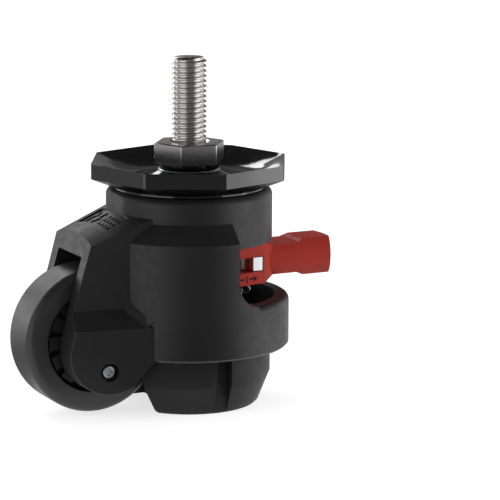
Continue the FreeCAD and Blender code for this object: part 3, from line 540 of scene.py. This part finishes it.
def polygon_prisms(outlines, low, high):
    """Mesh in work of flat-ended prisms over (x, y) outlines."""
    work = bmesh.new()
    for outline in outlines:
        bottom = [work.verts.new((x, y, low)) for x, y in outline]
        top = [work.verts.new((x, y, high)) for x, y in outline]
        work.faces.new(bottom)
        work.faces.new(top)
        for k in range(len(outline)):
            n = (k + 1) % len(outline)
            work.faces.new((bottom[k], bottom[n], top[n], top[k]))
    bmesh.ops.recalc_face_normals(work, faces=work.faces)
    return work


def bar(x, y, length, width):
    """Outline of a bar along X, centred at x and y."""
    a = length / 2.0
    b = width / 2.0
    return [(x - a, y - b), (x + a, y - b), (x + a, y + b), (x - a, y + b)]


def arrow(x, y, length, width, way=1.0):
    """Outlines of a plain arrow along X, centred at x and y: its shaft and its head."""
    head = length * ARROW_HEAD
    base = x + way * (length / 2.0 - head)
    tail = x - way * length / 2.0
    tip = x + way * length / 2.0
    half = width * ARROW_SHAFT
    shaft = [(tail, y - half), (base, y - half), (base, y + half), (tail, y + half)]
    return [shaft, [(base, y - width / 2.0), (tip, y), (base, y + width / 2.0)]]


def join_on(piece, node, finish=None):
    """Makes an added piece ride with a CAD node's body, with the finish of that node's slot if no finish
    is given.
    """
    slot = SLOT_OF[node]
    piece.data.materials.clear()
    piece.data.materials.append(finishes()[finish or slot])
    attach(piece, BODY_OF[node])


def dress(piece, node, finish=None):
    """Puts a piece in place of a CAD node, with that node's finish if none is given."""
    join_on(piece, node, finish)
    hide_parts(node)


# CAD nodes that stay and are darker than the finish of their slot, because they sit in shade
DARK_IN_SHADE = ("lower_race", "ratchet_nut", "hub_circlip", "thrust_washer")


def keep(node):
    """Gives a CAD node its finish."""
    piece = NODES[node]
    piece.data.materials.clear()
    piece.data.materials.append(finishes()["shade_dark" if node in DARK_IN_SHADE else SLOT_OF[node]])


# Geometry trees


class Tree:
    """Adds and links the nodes of one geometry tree."""

    def __init__(self, name, sizes):
        self.group = bpy.data.node_groups.new(name, "GeometryNodeTree")
        face = self.group.interface
        for label, (kind, default) in sizes.items():
            face.new_socket(label, in_out="INPUT", socket_type=kind).default_value = default
        face.new_socket("Geometry", in_out="OUTPUT", socket_type="NodeSocketGeometry")
        self.sizes = self.group.nodes.new("NodeGroupInput").outputs
        self.end = self.group.nodes.new("NodeGroupOutput")

    def node(self, kind, inputs=None, **options):
        return add_node(self.group, kind, inputs, options)

    def close(self, geometry, material):
        real = self.node("GeometryNodeRealizeInstances", {"Geometry": geometry})
        inputs = {"Geometry": real.outputs["Geometry"], "Material": material}
        painted = self.node("GeometryNodeSetMaterial", inputs)
        self.group.links.new(painted.outputs["Geometry"], self.end.inputs["Geometry"])


def grown(name, tree, values):
    """Plain mesh object that a geometry tree makes from the given sizes."""
    seed = add_object(name + "_seed", bpy.data.meshes.new(name + "_seed"))
    modifier = seed.modifiers.new("tree", "NODES")
    modifier.node_group = tree.group
    for item in tree.group.interface.items_tree:
        if item.in_out == "INPUT" and item.name in values:
            modifier[item.identifier] = values[item.name]
    graph = bpy.context.evaluated_depsgraph_get()
    mesh = bpy.data.meshes.new_from_object(seed.evaluated_get(graph), depsgraph=graph)
    bpy.data.objects.remove(seed)
    mesh.name = name
    return add_object(name, mesh)


def ball_tree(material):
    """Ring of balls in the swivel race."""
    tree = Tree("ball_ring", {
        "Balls": ("NodeSocketInt", 20),
        "Ring radius": ("NodeSocketFloat", 22.8 * MM),
        "Ball radius": ("NodeSocketFloat", 2.0 * MM),
        "Height": ("NodeSocketFloat", 75.8 * MM),
    })
    circle = tree.node("GeometryNodeMeshCircle", {
        "Vertices": tree.sizes["Balls"], "Radius": tree.sizes["Ring radius"],
    })
    lift = tree.node("ShaderNodeCombineXYZ", {"Z": tree.sizes["Height"]})
    raised = tree.node("GeometryNodeTransform", {
        "Geometry": circle.outputs["Mesh"], "Translation": lift.outputs["Vector"],
    })
    ball = tree.node("GeometryNodeMeshUVSphere", {
        "Segments": 28, "Rings": 16, "Radius": tree.sizes["Ball radius"],
    })
    smooth = tree.node("GeometryNodeSetShadeSmooth", {"Geometry": ball.outputs["Mesh"]})
    ring = tree.node("GeometryNodeInstanceOnPoints", {
        "Points": raised.outputs["Geometry"], "Instance": smooth.outputs["Geometry"],
    })
    tree.close(ring.outputs["Instances"], material)
    return tree


def wire_tree(material, route):
    """Round wire swept along the curve object that holds its route."""
    tree = Tree("clip_wire", {"Wire radius": ("NodeSocketFloat", 0.26 * MM)})
    path = tree.node("GeometryNodeObjectInfo", {"Object": route})
    profile = tree.node("GeometryNodeCurvePrimitiveCircle", {
        "Resolution": 12, "Radius": tree.sizes["Wire radius"],
    })
    swept = tree.node("GeometryNodeCurveToMesh", {
        "Curve": path.outputs["Geometry"], "Profile Curve": profile.outputs["Curve"], "Fill Caps": True,
    })
    smooth = tree.node("GeometryNodeSetShadeSmooth", {"Geometry": swept.outputs["Mesh"]})
    tree.close(smooth.outputs["Geometry"], material)
    return tree


# Edges that are chosen by their place


NEAR = 0.05 * MM
RIM_Z = 38.0 * MM
BARREL_R = 34.8 * MM
CHEEK_BACK_X = -31.0 * MM
CHEEK_OUTER_Y = 13.0 * MM
SCREW_PLACE = Vector((-39.6 * MM, 0.0, 18.0 * MM))
SCREW_ROOM = 5.0 * MM
NUT_BODY_R = 9.0 * MM
NUT_CORNER_LENGTH = 5.0 * MM


def on_cup_rim(edge):
    """Outer edge of the cup's rim."""
    return all(abs(v.co.z - RIM_Z) < NEAR and v.co.xy.length > BARREL_R - NEAR for v in edge.verts)


def on_plate_corner(edge):
    """Upright edge between two flats of the plate's rim."""
    first, second = (v.co for v in edge.verts)
    return (first - second).xy.length < NEAR and first.xy.length > BARREL_R


def on_nut_corner(edge):
    """Upright edge between two flats of the hexagon nut."""
    first, second = (v.co for v in edge.verts)
    return abs(first.z - second.z) > NUT_CORNER_LENGTH and first.xy.length > NUT_BODY_R


def on_cheek_outline(edge):
    """Front and lower outline of a fork cheek, on its outer side."""
    middle = (edge.verts[0].co + edge.verts[1].co) / 2.0
    if middle.x > CHEEK_BACK_X or abs(middle.y) < CHEEK_OUTER_Y:
        return False
    if (middle - SCREW_PLACE).xz.length < SCREW_ROOM:
        return False
    across, along = sorted((face.normal for face in edge.link_faces), key=lambda n: -abs(n.y))
    return abs(across.y) > 0.85 and abs(along.y) < 0.3 and along.z < 0.5


# Operators, one for each piece or group of like pieces


class CASTOR_OT_housing(bpy.types.Operator):
    """Rounds the housing's edges and gives it black moulded nylon"""
    bl_idname = "castor.housing"
    bl_label = "Housing"

    def execute(self, context):
        wide = ((on_cup_rim, settings().edges.rim), (on_cheek_outline, settings().edges.cheek))
        piece = softened("housing", "housing_moulding", settings().edges.plastic, wide=wide)
        weigh_normals(piece)
        dress(piece, "housing")
        return {"FINISHED"}


class CASTOR_OT_lever(bpy.types.Operator):
    """Rounds the lever's edges and gives it red moulded nylon"""
    bl_idname = "castor.lever"
    bl_label = "Lever"

    def execute(self, context):
        piece = softened("lever", "lever_moulding", settings().edges.lever, crease=20.0)
        weigh_normals(piece)
        dress(piece, "lever")
        return {"FINISHED"}


class CASTOR_OT_stem(bpy.types.Operator):
    """Makes the threaded stem with its plain shank and its hexagon head"""
    bl_idname = "castor.stem"
    bl_label = "Stem"

    def execute(self, context):
        cut = settings().thread
        bottom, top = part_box("stem")
        washer_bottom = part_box("king_washer")[0].z
        nut_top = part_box("hex_nut")[1].z
        screw_r = 6.0 * MM
        shank_r = 5.4 * MM
        head_r = 9.8 * MM
        head_edge = 0.6 * MM
        depth_in_nut = 2.0 * MM
        start = nut_top - depth_in_nut
        rod = lathe("stem_shank", [
            (0.0, washer_bottom), (shank_r, washer_bottom), (shank_r, start), (0.0, start),
        ])
        screw = threaded("stem_screw", start, top.z, screw_r, cut.depth, cut.pitch, cut.segments)
        head = lathe("stem_head", [
            (0.0, bottom.z), (head_r - head_edge, bottom.z), (head_r, bottom.z + head_edge),
            (head_r, washer_bottom), (0.0, washer_bottom),
        ], segments=6)
        head.shade_flat()
        piece = add_object("threaded_stem", joined("threaded_stem", [rod, screw, head]))
        dress(piece, "stem")
        return {"FINISHED"}


class CASTOR_OT_spindle(bpy.types.Operator):
    """Makes the foot's threaded spindle with its flange"""
    bl_idname = "castor.spindle"
    bl_label = "Foot spindle"

    def execute(self, context):
        cut = settings().thread
        bottom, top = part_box("foot_spindle")
        screw_r = 7.0 * MM
        flange_r = (top.x - bottom.x) / 2.0
        flange_height = 4.0 * MM
        flange_top = bottom.z + flange_height
        flange = lathe("spindle_flange", [
            (0.0, bottom.z), (flange_r, bottom.z), (flange_r, flange_top), (0.0, flange_top),
        ])
        screw = threaded(
            "spindle_screw", flange_top, top.z, screw_r,
            cut.spindle_depth, cut.spindle_pitch, cut.segments,
        )
        piece = add_object("threaded_spindle", joined("threaded_spindle", [flange, screw]))
        # The spindle takes the darker steel, painted shade for its place inside the foot and the housing
        dress(piece, "foot_spindle", "shade_dark")
        return {"FINISHED"}


class CASTOR_OT_bearing(bpy.types.Operator):
    """Sets the ring of balls in the swivel race"""
    bl_idname = "castor.bearing"
    bl_label = "Swivel bearing"

    def execute(self, context):
        low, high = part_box("swivel_balls")
        ball_r = (high.z - low.z) / 2.0
        ring_r = (high.x - low.x) / 2.0 - ball_r
        tree = ball_tree(finishes()["ball_steel"])
        piece = grown("bearing_balls", tree, {
            "Balls": settings().bearing.balls, "Ring radius": ring_r,
            "Ball radius": ball_r, "Height": (low.z + high.z) / 2.0,
        })
        dress(piece, "swivel_balls")
        return {"FINISHED"}


class CASTOR_OT_wheel(bpy.types.Operator):
    """Makes the wheel's tread and rounds the edges of its core"""
    bl_idname = "castor.wheel"
    bl_label = "Wheel"

    def execute(self, context):
        low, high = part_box("tyre")
        centre = ((low.x + high.x) / 2.0, (low.z + high.z) / 2.0)
        radius = (high.x - low.x) / 2.0
        half = (high.y - low.y) / 2.0
        core_low, core_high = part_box("wheel_core")
        clear_of_core = 0.03 * MM
        inner = (core_high.x - core_low.x) / 2.0 + clear_of_core
        shoulder = 2.6 * MM
        flat = 0.6 * MM
        outline = [(inner, half), (inner, -half), (radius - shoulder - flat, -half)]
        steps = 14
        for k in range(steps + 1):
            turn = math.pi / 2.0 * k / steps
            reach = radius - shoulder + shoulder * math.sin(turn)
            outline.append((reach, -half + shoulder - shoulder * math.cos(turn)))
        outline += [(r, -y) for r, y in reversed(outline[2:])]
        ring = lathe("tread_ring", outline, segments=192, centre=centre, across=True)
        piece = add_object("tread_ring", ring)
        dress(piece, "tyre")
        core = softened("wheel_core", "wheel_core_moulding", settings().edges.core)
        weigh_normals(core)
        dress(core, "wheel_core")
        return {"FINISHED"}


class CASTOR_OT_foot(bpy.types.Operator):
    """Rounds the foot's edges and gives it black moulded nylon"""
    bl_idname = "castor.foot"
    bl_label = "Foot"

    def execute(self, context):
        piece = softened("foot_pad", "foot_moulding", settings().edges.plastic)
        weigh_normals(piece)
        dress(piece, "foot_pad")
        return {"FINISHED"}


class CASTOR_OT_plate(bpy.types.Operator):
    """Rounds the top plate's edges, gives it a gloss black coat, and closes the gap below with a skirt"""
    bl_idname = "castor.plate"
    bl_label = "Top plate"

    def execute(self, context):
        wide = ((on_plate_corner, settings().edges.corner),)
        piece = softened("top_plate", "pressed_plate", settings().edges.metal, wide=wide, crease=16.0)
        weigh_normals(piece)
        dress(piece, "top_plate")
        clear_of_collar = 0.12 * MM
        depth_in_plate = 0.15 * MM
        inner_r = 25.5 * MM
        outer_r = 26.3 * MM
        edge = 0.2 * MM
        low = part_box("housing")[1].z + clear_of_collar
        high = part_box("top_plate")[0].z + depth_in_plate
        outline = [
            (inner_r, low), (outer_r - edge, low), (outer_r, low + edge),
            (outer_r, high - edge / 2.0), (outer_r - edge, high), (inner_r, high),
        ]
        skirt = add_object("plate_skirt", lathe("plate_skirt", outline))
        join_on(skirt, "top_plate")
        return {"FINISHED"}


class CASTOR_OT_nut(bpy.types.Operator):
    """Makes the hexagon nut with its countersink and rounded corners"""
    bl_idname = "castor.nut"
    bl_label = "Hexagon nut"
    flats: FloatProperty(
        name="Flats", description="Size across the nut's flats", default=22.0 * MM, unit="LENGTH",
    )
    turn: FloatProperty(
        name="Turn", description="Angle of the nut's first corner",
        default=math.radians(52.5), subtype="ANGLE",
    )

    def execute(self, context):
        low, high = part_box("hex_nut")
        edge = settings().edges.metal
        corner = self.flats / 2.0 / math.cos(math.pi / 6)
        slope_height = 1.6 * edge
        slope_width = 3.0 * edge
        outline = [
            (0.0, low.z), (corner - edge, low.z), (corner, low.z + edge),
            (corner, high.z - slope_height), (corner - slope_width, high.z), (0.0, high.z),
        ]
        piece = add_object("stem_nut", lathe("stem_nut", outline, segments=6, turn=self.turn))
        sink_depth = 4.6 * MM
        sink_r = 7.6 * MM
        above = high.z + 0.2 * MM
        cone = [(0.0, high.z - sink_depth), (sink_r, above), (0.0, above)]
        cutter = add_object("nut_countersink", lathe("nut_countersink", cone, segments=64))
        cut_away(piece, cutter)
        work = bmesh.new()
        work.from_mesh(piece.data)
        corners = [e for e in sharp_edges(work, degrees=40.0) if on_nut_corner(e)]
        round_edges(work, corners, width=1.5 * edge, segments=3)
        work.to_mesh(piece.data)
        work.free()
        smooth_shading(piece.data)
        weigh_normals(piece)
        dress(piece, "hex_nut")
        return {"FINISHED"}


class CASTOR_OT_washers(bpy.types.Operator):
    """Makes the spring washer under the nut and the bright seat it presses on"""
    bl_idname = "castor.washers"
    bl_label = "Washers under the nut"

    def execute(self, context):
        low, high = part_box("lock_washer")
        seat = 0.55 * MM
        washer_edge = 0.12 * MM
        piece = softened("lock_washer", "spring_washer", washer_edge)
        shrink = (high.z - low.z - seat) / (high.z - low.z)
        for vert in piece.data.vertices:
            vert.co.z = low.z + seat + (vert.co.z - low.z) * shrink
        # The spring washer takes the darker steel: painted shade under the nut and painted reflection of
        # the dark plate
        dress(piece, "lock_washer", "shade_dark")
        inner_r = 6.3 * MM
        edge = 0.2 * MM
        outer_r = (high.x - low.x) / 2.0 + 2 * edge
        outline = [
            (inner_r, low.z), (outer_r - edge, low.z), (outer_r, low.z + edge),
            (outer_r, low.z + seat - edge), (outer_r - edge, low.z + seat), (inner_r, low.z + seat),
        ]
        ring = add_object("washer_seat", lathe("washer_seat", outline))
        join_on(ring, "lock_washer")
        return {"FINISHED"}


class CASTOR_OT_clip(bpy.types.Operator):
    """Bends the spring clip under the lever's head, with a coil at each end"""
    bl_idname = "castor.clip"
    bl_label = "Spring clip"

    def execute(self, context):
        wire_r = 0.26 * MM
        band_r = 12.4 * MM
        band_z = 40.4 * MM
        band_steps = 96
        eye_r = 1.4 * MM
        eye_place = 19.7 * MM
        eye_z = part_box("lever_clip")[0].z + eye_r + 0.4 * MM
        ends = (math.radians(-32.0), math.radians(-56.0))
        coil_turns = 3.5
        coil_pitch = 0.6 * MM
        coil_steps = 24
        coils = []
        for angle, side in zip(ends, (1.0, -1.0)):
            outward = Vector((math.cos(angle), math.sin(angle), 0.0))
            along = Vector((-math.sin(angle), math.cos(angle), 0.0)) * side
            centre = outward * eye_place + Vector((0.0, 0.0, eye_z))
            coil = []
            for k in range(int(coil_turns * coil_steps) + 1):
                turn = 2 * math.pi * k / coil_steps
                spoke = outward * -math.cos(turn) + Vector((0.0, 0.0, 1.0)) * math.sin(turn)
                coil.append(centre + spoke * eye_r + along * (coil_pitch * k / coil_steps))
            coils.append(coil)
        first, last = ends
        sweep = 2 * math.pi + last - first
        band = []
        for k in range(band_steps + 1):
            angle = first + sweep * k / band_steps
            band.append(Vector((band_r * math.cos(angle), band_r * math.sin(angle), band_z)))
        route = coils[0][::-1] + band + coils[1]
        curve = bpy.data.curves.new("clip_route", "CURVE")
        curve.dimensions = "3D"
        spline = curve.splines.new("POLY")
        spline.points.add(len(route) - 1)
        for point, place in zip(spline.points, route):
            point.co = (*place, 1.0)
        guide = add_object("clip_route", curve)
        piece = grown("clip_wire", wire_tree(finishes()["spring_steel"], guide), {"Wire radius": wire_r})
        bpy.data.objects.remove(guide)
        dress(piece, "lever_clip")
        return {"FINISHED"}


class CASTOR_OT_marks(bpy.types.Operator):
    """Adds plain arrows to the lever's sides and plain raised marks to the fork's top"""
    bl_idname = "castor.marks"
    bl_label = "Plain marks"

    def execute(self, context):
        self.lever_arrows()
        self.fork_marks()
        return {"FINISHED"}

    def lever_arrows(self):
        """Two arrows with a bar between them, on both flanks of the lever's head."""
        # Each flank passes through this point and comes nearer to the middle by slope
        flank_x = 3.098 * MM
        flank_y = 15.493 * MM
        slope = 0.2
        height = 43.45 * MM
        length = 3.6 * MM
        width = 2.1 * MM
        outlines = arrow(13.2 * MM, height, length, width, -1.0) + arrow(18.9 * MM, height, length, width)
        outlines.append(bar(16.05 * MM, height, length=0.5 * MM, width=width))
        work = polygon_prisms(outlines, low=-0.3 * MM, high=0.06 * MM)
        bmesh.ops.duplicate(work, geom=work.verts[:] + work.edges[:] + work.faces[:])
        half = len(work.verts) // 2
        for k, vert in enumerate(work.verts):
            side = 1.0 if k < half else -1.0
            x, z, proud = vert.co
            vert.co = (x, side * (flank_y - slope * (x - flank_x) + proud), z)
        bmesh.ops.recalc_face_normals(work, faces=work.faces)
        join_on(add_object("lever_arrows", mesh_from(work, "lever_arrows")), "lever", "mark")

    def fork_marks(self):
        """Two arrows and rows of dots, laid on the curved top of the fork."""
        surface = BVHTree.FromPolygons(
            [v.co for v in NODES["housing"].data.vertices],
            [tuple(p.vertices) for p in NODES["housing"].data.polygons],
        )
        middle = -32.7 * MM
        length = 6.2 * MM
        width = 3.6 * MM
        outlines = arrow(middle, 7.4 * MM, length, width) + arrow(middle, 2.8 * MM, length, width, -1.0)
        for k in range(12):
            x = middle + (k % 3 - 1) * 2.0 * MM
            y = -(1.8 + 2.3 * (k // 3)) * MM
            outlines.append(bar(x, y, length=1.1 * MM, width=1.3 * MM))
        work = polygon_prisms(outlines, low=-0.2 * MM, high=0.42 * MM)
        # Cuts at every millimetre let the flat prisms bend with the top
        for k in range(-9, 10):
            bmesh.ops.bisect_plane(
                work, geom=work.verts[:] + work.edges[:] + work.faces[:],
                plane_co=(0.0, k * MM, 0.0), plane_no=(0.0, 1.0, 0.0),
            )
        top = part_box("housing")[1].z
        down = Vector((0.0, 0.0, -1.0))
        for vert in work.verts:
            hit = surface.ray_cast(Vector((vert.co.x, vert.co.y, top)), down)[0]
            vert.co.z += hit.z
        bmesh.ops.recalc_face_normals(work, faces=work.faces)
        join_on(add_object("fork_marks", mesh_from(work, "fork_marks")), "housing")


class CASTOR_OT_selector(bpy.types.Operator):
    """Rounds the selector's edges and gives it bright zinc"""
    bl_idname = "castor.selector"
    bl_label = "Selector"

    def execute(self, context):
        piece = softened("selector_pawl", "selector_rocker", settings().edges.metal)
        weigh_normals(piece)
        dress(piece, "selector_pawl")
        return {"FINISHED"}


class CASTOR_OT_small_parts(bpy.types.Operator):
    """Gives the CAD nodes their finishes, which show on those that nothing replaces"""
    bl_idname = "castor.small_parts"
    bl_label = "Small parts"

    def execute(self, context):
        for node in NODES:
            keep(node)
        return {"FINISHED"}


class CASTOR_OT_stage(bpy.types.Operator):
    """Sets the floor, the world, the tent for reflections, the lamps and the camera"""
    bl_idname = "castor.stage"
    bl_label = "Studio"

    def execute(self, context):
        make_floor()
        make_world()
        make_tent()
        make_lamps()
        make_camera()
        context.scene.view_settings.view_transform = "Standard"
        return {"FINISHED"}


# Studio


# Tone of the floor, its glow where it is seen, the world's light, and its glow where it is seen
FLOOR_TONE = 0.66
FLOOR_GLOW = 0.72
WORLD_LIGHT = 0.42
WORLD_GLOW = 0.58

# Sectors of the tent: first and last angle to the right of the camera, then the glow of the card on
# the floor, of the low wall and of the high wall
TENT_SECTORS = (
    (-110.0, -76.0, 0.35, 0.35, 0.6),
    (-76.0, -23.0, 0.9, 0.9, 0.2),
    (-23.0, 50.0, 0.14, 0.18, 0.06),
    (50.0, 84.0, 1.4, 1.4, 0.3),
    (84.0, 94.0, 2.3, 1.4, 0.3),
    (94.0, 120.0, 0.8, 0.7, 0.2),
    (120.0, 150.0, 0.9, 1.1, 0.5),
    (150.0, 190.0, 0.2, 0.2, 0.12),
    (190.0, 222.0, 0.3, 0.14, 3.4),
    (222.0, 250.0, 0.9, 2.2, 1.6),
)
TENT_ROOF = 0.03

# The tent's floor card from its inner to its outer radius and its height, then the tops of both walls
CARD_INNER = 40 * MM
CARD_OUTER = 1.1
CARD_Z = 4 * MM
LOW_WALL_TOP = 0.44
HIGH_WALL_TOP = 0.76


def seen(tree):
    """One for rays from the camera, from gloss and through glass, else zero."""
    path = tree.nodes.new("ShaderNodeLightPath")
    value = path.outputs["Is Camera Ray"]
    for label in ("Is Glossy Ray", "Is Transmission Ray"):
        larger = tree.nodes.new("ShaderNodeMath")
        larger.operation = "MAXIMUM"
        tree.links.new(value, larger.inputs[0])
        tree.links.new(path.outputs[label], larger.inputs[1])
        value = larger.outputs[0]
    return value


def glow(tree, base, extra):
    """Strength of base for all rays, and extra on top where the background is seen."""
    node = tree.nodes.new("ShaderNodeMath")
    node.operation = "MULTIPLY_ADD"
    tree.links.new(seen(tree), node.inputs[0])
    node.inputs[1].default_value = extra
    node.inputs[2].default_value = base
    return node.outputs[0]


def make_floor():
    size = 8.0
    mesh = bpy.data.meshes.new("floor")
    mesh.from_pydata([(x, y, 0.0) for x, y in bar(0.0, 0.0, size, size)], [], [(0, 1, 2, 3)])
    floor = add_object("floor", mesh)
    material = bpy.data.materials.new("floor_paper")
    material.use_nodes = True
    tree = material.node_tree
    surface = tree.nodes["Principled BSDF"]
    surface.inputs["Base Color"].default_value = (FLOOR_TONE, FLOOR_TONE, FLOOR_TONE, 1.0)
    surface.inputs["Roughness"].default_value = 0.9
    surface.inputs["Specular IOR Level"].default_value = 0.0
    surface.inputs["Emission Color"].default_value = (1.0, 1.0, 1.0, 1.0)
    tree.links.new(glow(tree, 0.0, FLOOR_GLOW), surface.inputs["Emission Strength"])
    mesh.materials.append(material)


def make_world():
    world = bpy.data.worlds.new("studio")
    world.use_nodes = True
    tree = world.node_tree
    background = tree.nodes["Background"]
    background.inputs["Color"].default_value = (1.0, 1.0, 1.0, 1.0)
    tree.links.new(glow(tree, WORLD_LIGHT, WORLD_GLOW), background.inputs["Strength"])
    bpy.context.scene.world = world


def make_tent():
    """Studio tent that only gloss can see: softboxes at the sides, dark cloth elsewhere."""
    step = math.radians(2.0)
    outline = (
        (CARD_INNER, CARD_Z), (CARD_OUTER, CARD_Z), (CARD_OUTER, LOW_WALL_TOP),
        (CARD_OUTER, HIGH_WALL_TOP), (0.0, HIGH_WALL_TOP),
    )
    mesh = bpy.data.meshes.new("tent")
    work = bmesh.new()
    levels = work.faces.layers.float.new("level")
    front = settings().studio.azimuth - math.pi / 2.0
    for start, end, *glows in TENT_SECTORS:
        count = max(1, round(math.radians(end - start) / step))
        for k in range(count):
            turns = [front + math.radians(start + (end - start) * (k + n) / count) for n in (0, 1)]
            rows = []
            for radius, z in outline:
                rows.append([(radius * math.cos(a), radius * math.sin(a), z) for a in turns])
            for (low, high), level in zip(zip(rows, rows[1:]), (*glows, TENT_ROOF)):
                corners = [low[0], low[1], high[1], high[0]]
                if high[0] == high[1]:
                    corners.pop()
                face = work.faces.new([work.verts.new(corner) for corner in corners])
                face[levels] = level
    work.to_mesh(mesh)
    work.free()
    tent = add_object("tent", mesh)
    material = bpy.data.materials.new("tent_cloth")
    material.use_nodes = True
    tree = material.node_tree
    surface = tree.nodes["Principled BSDF"]
    surface.inputs["Base Color"].default_value = (0.0, 0.0, 0.0, 1.0)
    surface.inputs["Specular IOR Level"].default_value = 0.0
    surface.inputs["Emission Color"].default_value = (1.0, 0.99, 1.0, 1.0)
    level = tree.nodes.new("ShaderNodeAttribute")
    level.attribute_name = "level"
    tree.links.new(level.outputs["Fac"], surface.inputs["Emission Strength"])
    material.cycles.emission_sampling = "NONE"
    mesh.materials.append(material)
    tent.visible_camera = False
    tent.visible_diffuse = False
    tent.visible_shadow = False


def lamp(name, place, size, power, target=(0.0, 0.0, 0.06)):
    """Soft lamp that looks at the castor and isn't mirrored in its gloss."""
    light = bpy.data.lights.new(name, "AREA")
    light.shape = "RECTANGLE"
    light.size, light.size_y = size
    light.energy = power
    made = bpy.data.objects.new(name, light)
    bpy.context.scene.collection.objects.link(made)
    made.location = place
    made.rotation_euler = (Vector(target) - Vector(place)).to_track_quat("-Z", "Y").to_euler()
    made.visible_glossy = False


def make_lamps():
    lamp("right_softbox", (0.95, -0.45, 0.30), (0.5, 0.6), 4.0)
    lamp("left_softbox", (-1.0, -0.15, 0.35), (0.5, 0.7), 2.6)
    lamp("back_softbox", (-0.2, 0.95, 0.7), (0.8, 0.5), 3.6)


def make_camera():
    """Long lens at the photo's angle, turned a little so that the castor stands left of the middle."""
    view = settings().studio
    a = view.azimuth
    e = view.elevation
    back = Vector((math.sin(a) * math.cos(e), -math.cos(a) * math.cos(e), math.sin(e)))
    camera = bpy.data.cameras.new("photo_view")
    camera.lens = view.lens
    camera.sensor_width = 36.0
    camera.clip_start = 0.05
    camera.clip_end = 20.0
    made = bpy.data.objects.new("photo_view", camera)
    bpy.context.scene.collection.objects.link(made)
    look = (-back).to_track_quat("-Z", "Y").to_matrix().to_4x4()
    turn = Matrix.Rotation(-view.aim_right, 4, "Y") @ Matrix.Rotation(view.aim_up, 4, "X")
    place = Vector((0.0, 0.0, view.target_height)) + back * view.distance
    made.matrix_world = Matrix.Translation(place) @ look @ turn
    bpy.context.scene.camera = made


# Panel and registration


class CASTOR_PT_panel(bpy.types.Panel):
    bl_label = "Levelling castor"
    bl_idname = "CASTOR_PT_panel"
    bl_space_type = "VIEW_3D"
    bl_region_type = "UI"
    bl_category = "Castor"

    def draw(self, context):
        layout = self.layout
        for name in CastorSettings.__annotations__:
            group = getattr(settings(), name)
            box = layout.box()
            for key in group.__annotations__:
                box.prop(group, key)
        for operator in PIECES:
            layout.operator(operator.bl_idname)


PIECES = (
    CASTOR_OT_small_parts,
    CASTOR_OT_housing,
    CASTOR_OT_lever,
    CASTOR_OT_selector,
    CASTOR_OT_stem,
    CASTOR_OT_nut,
    CASTOR_OT_washers,
    CASTOR_OT_clip,
    CASTOR_OT_marks,
    CASTOR_OT_plate,
    CASTOR_OT_bearing,
    CASTOR_OT_wheel,
    CASTOR_OT_foot,
    CASTOR_OT_spindle,
    CASTOR_OT_stage,
)
GROUPS = (CastorEdges, CastorThread, CastorBearing, CastorFinish, CastorStudio, CastorSettings)


def register():
    for made in (*GROUPS, *PIECES, CASTOR_PT_panel):
        bpy.utils.register_class(made)
    bpy.types.Scene.castor = PointerProperty(type=CastorSettings)


def unregister():
    del bpy.types.Scene.castor
    for made in reversed((*GROUPS, *PIECES, CASTOR_PT_panel)):
        bpy.utils.unregister_class(made)


def main():
    register()
    for operator in PIECES:
        group, name = operator.bl_idname.split(".")
        getattr(getattr(bpy.ops, group), name)()


if __name__ == "__main__":
    main()
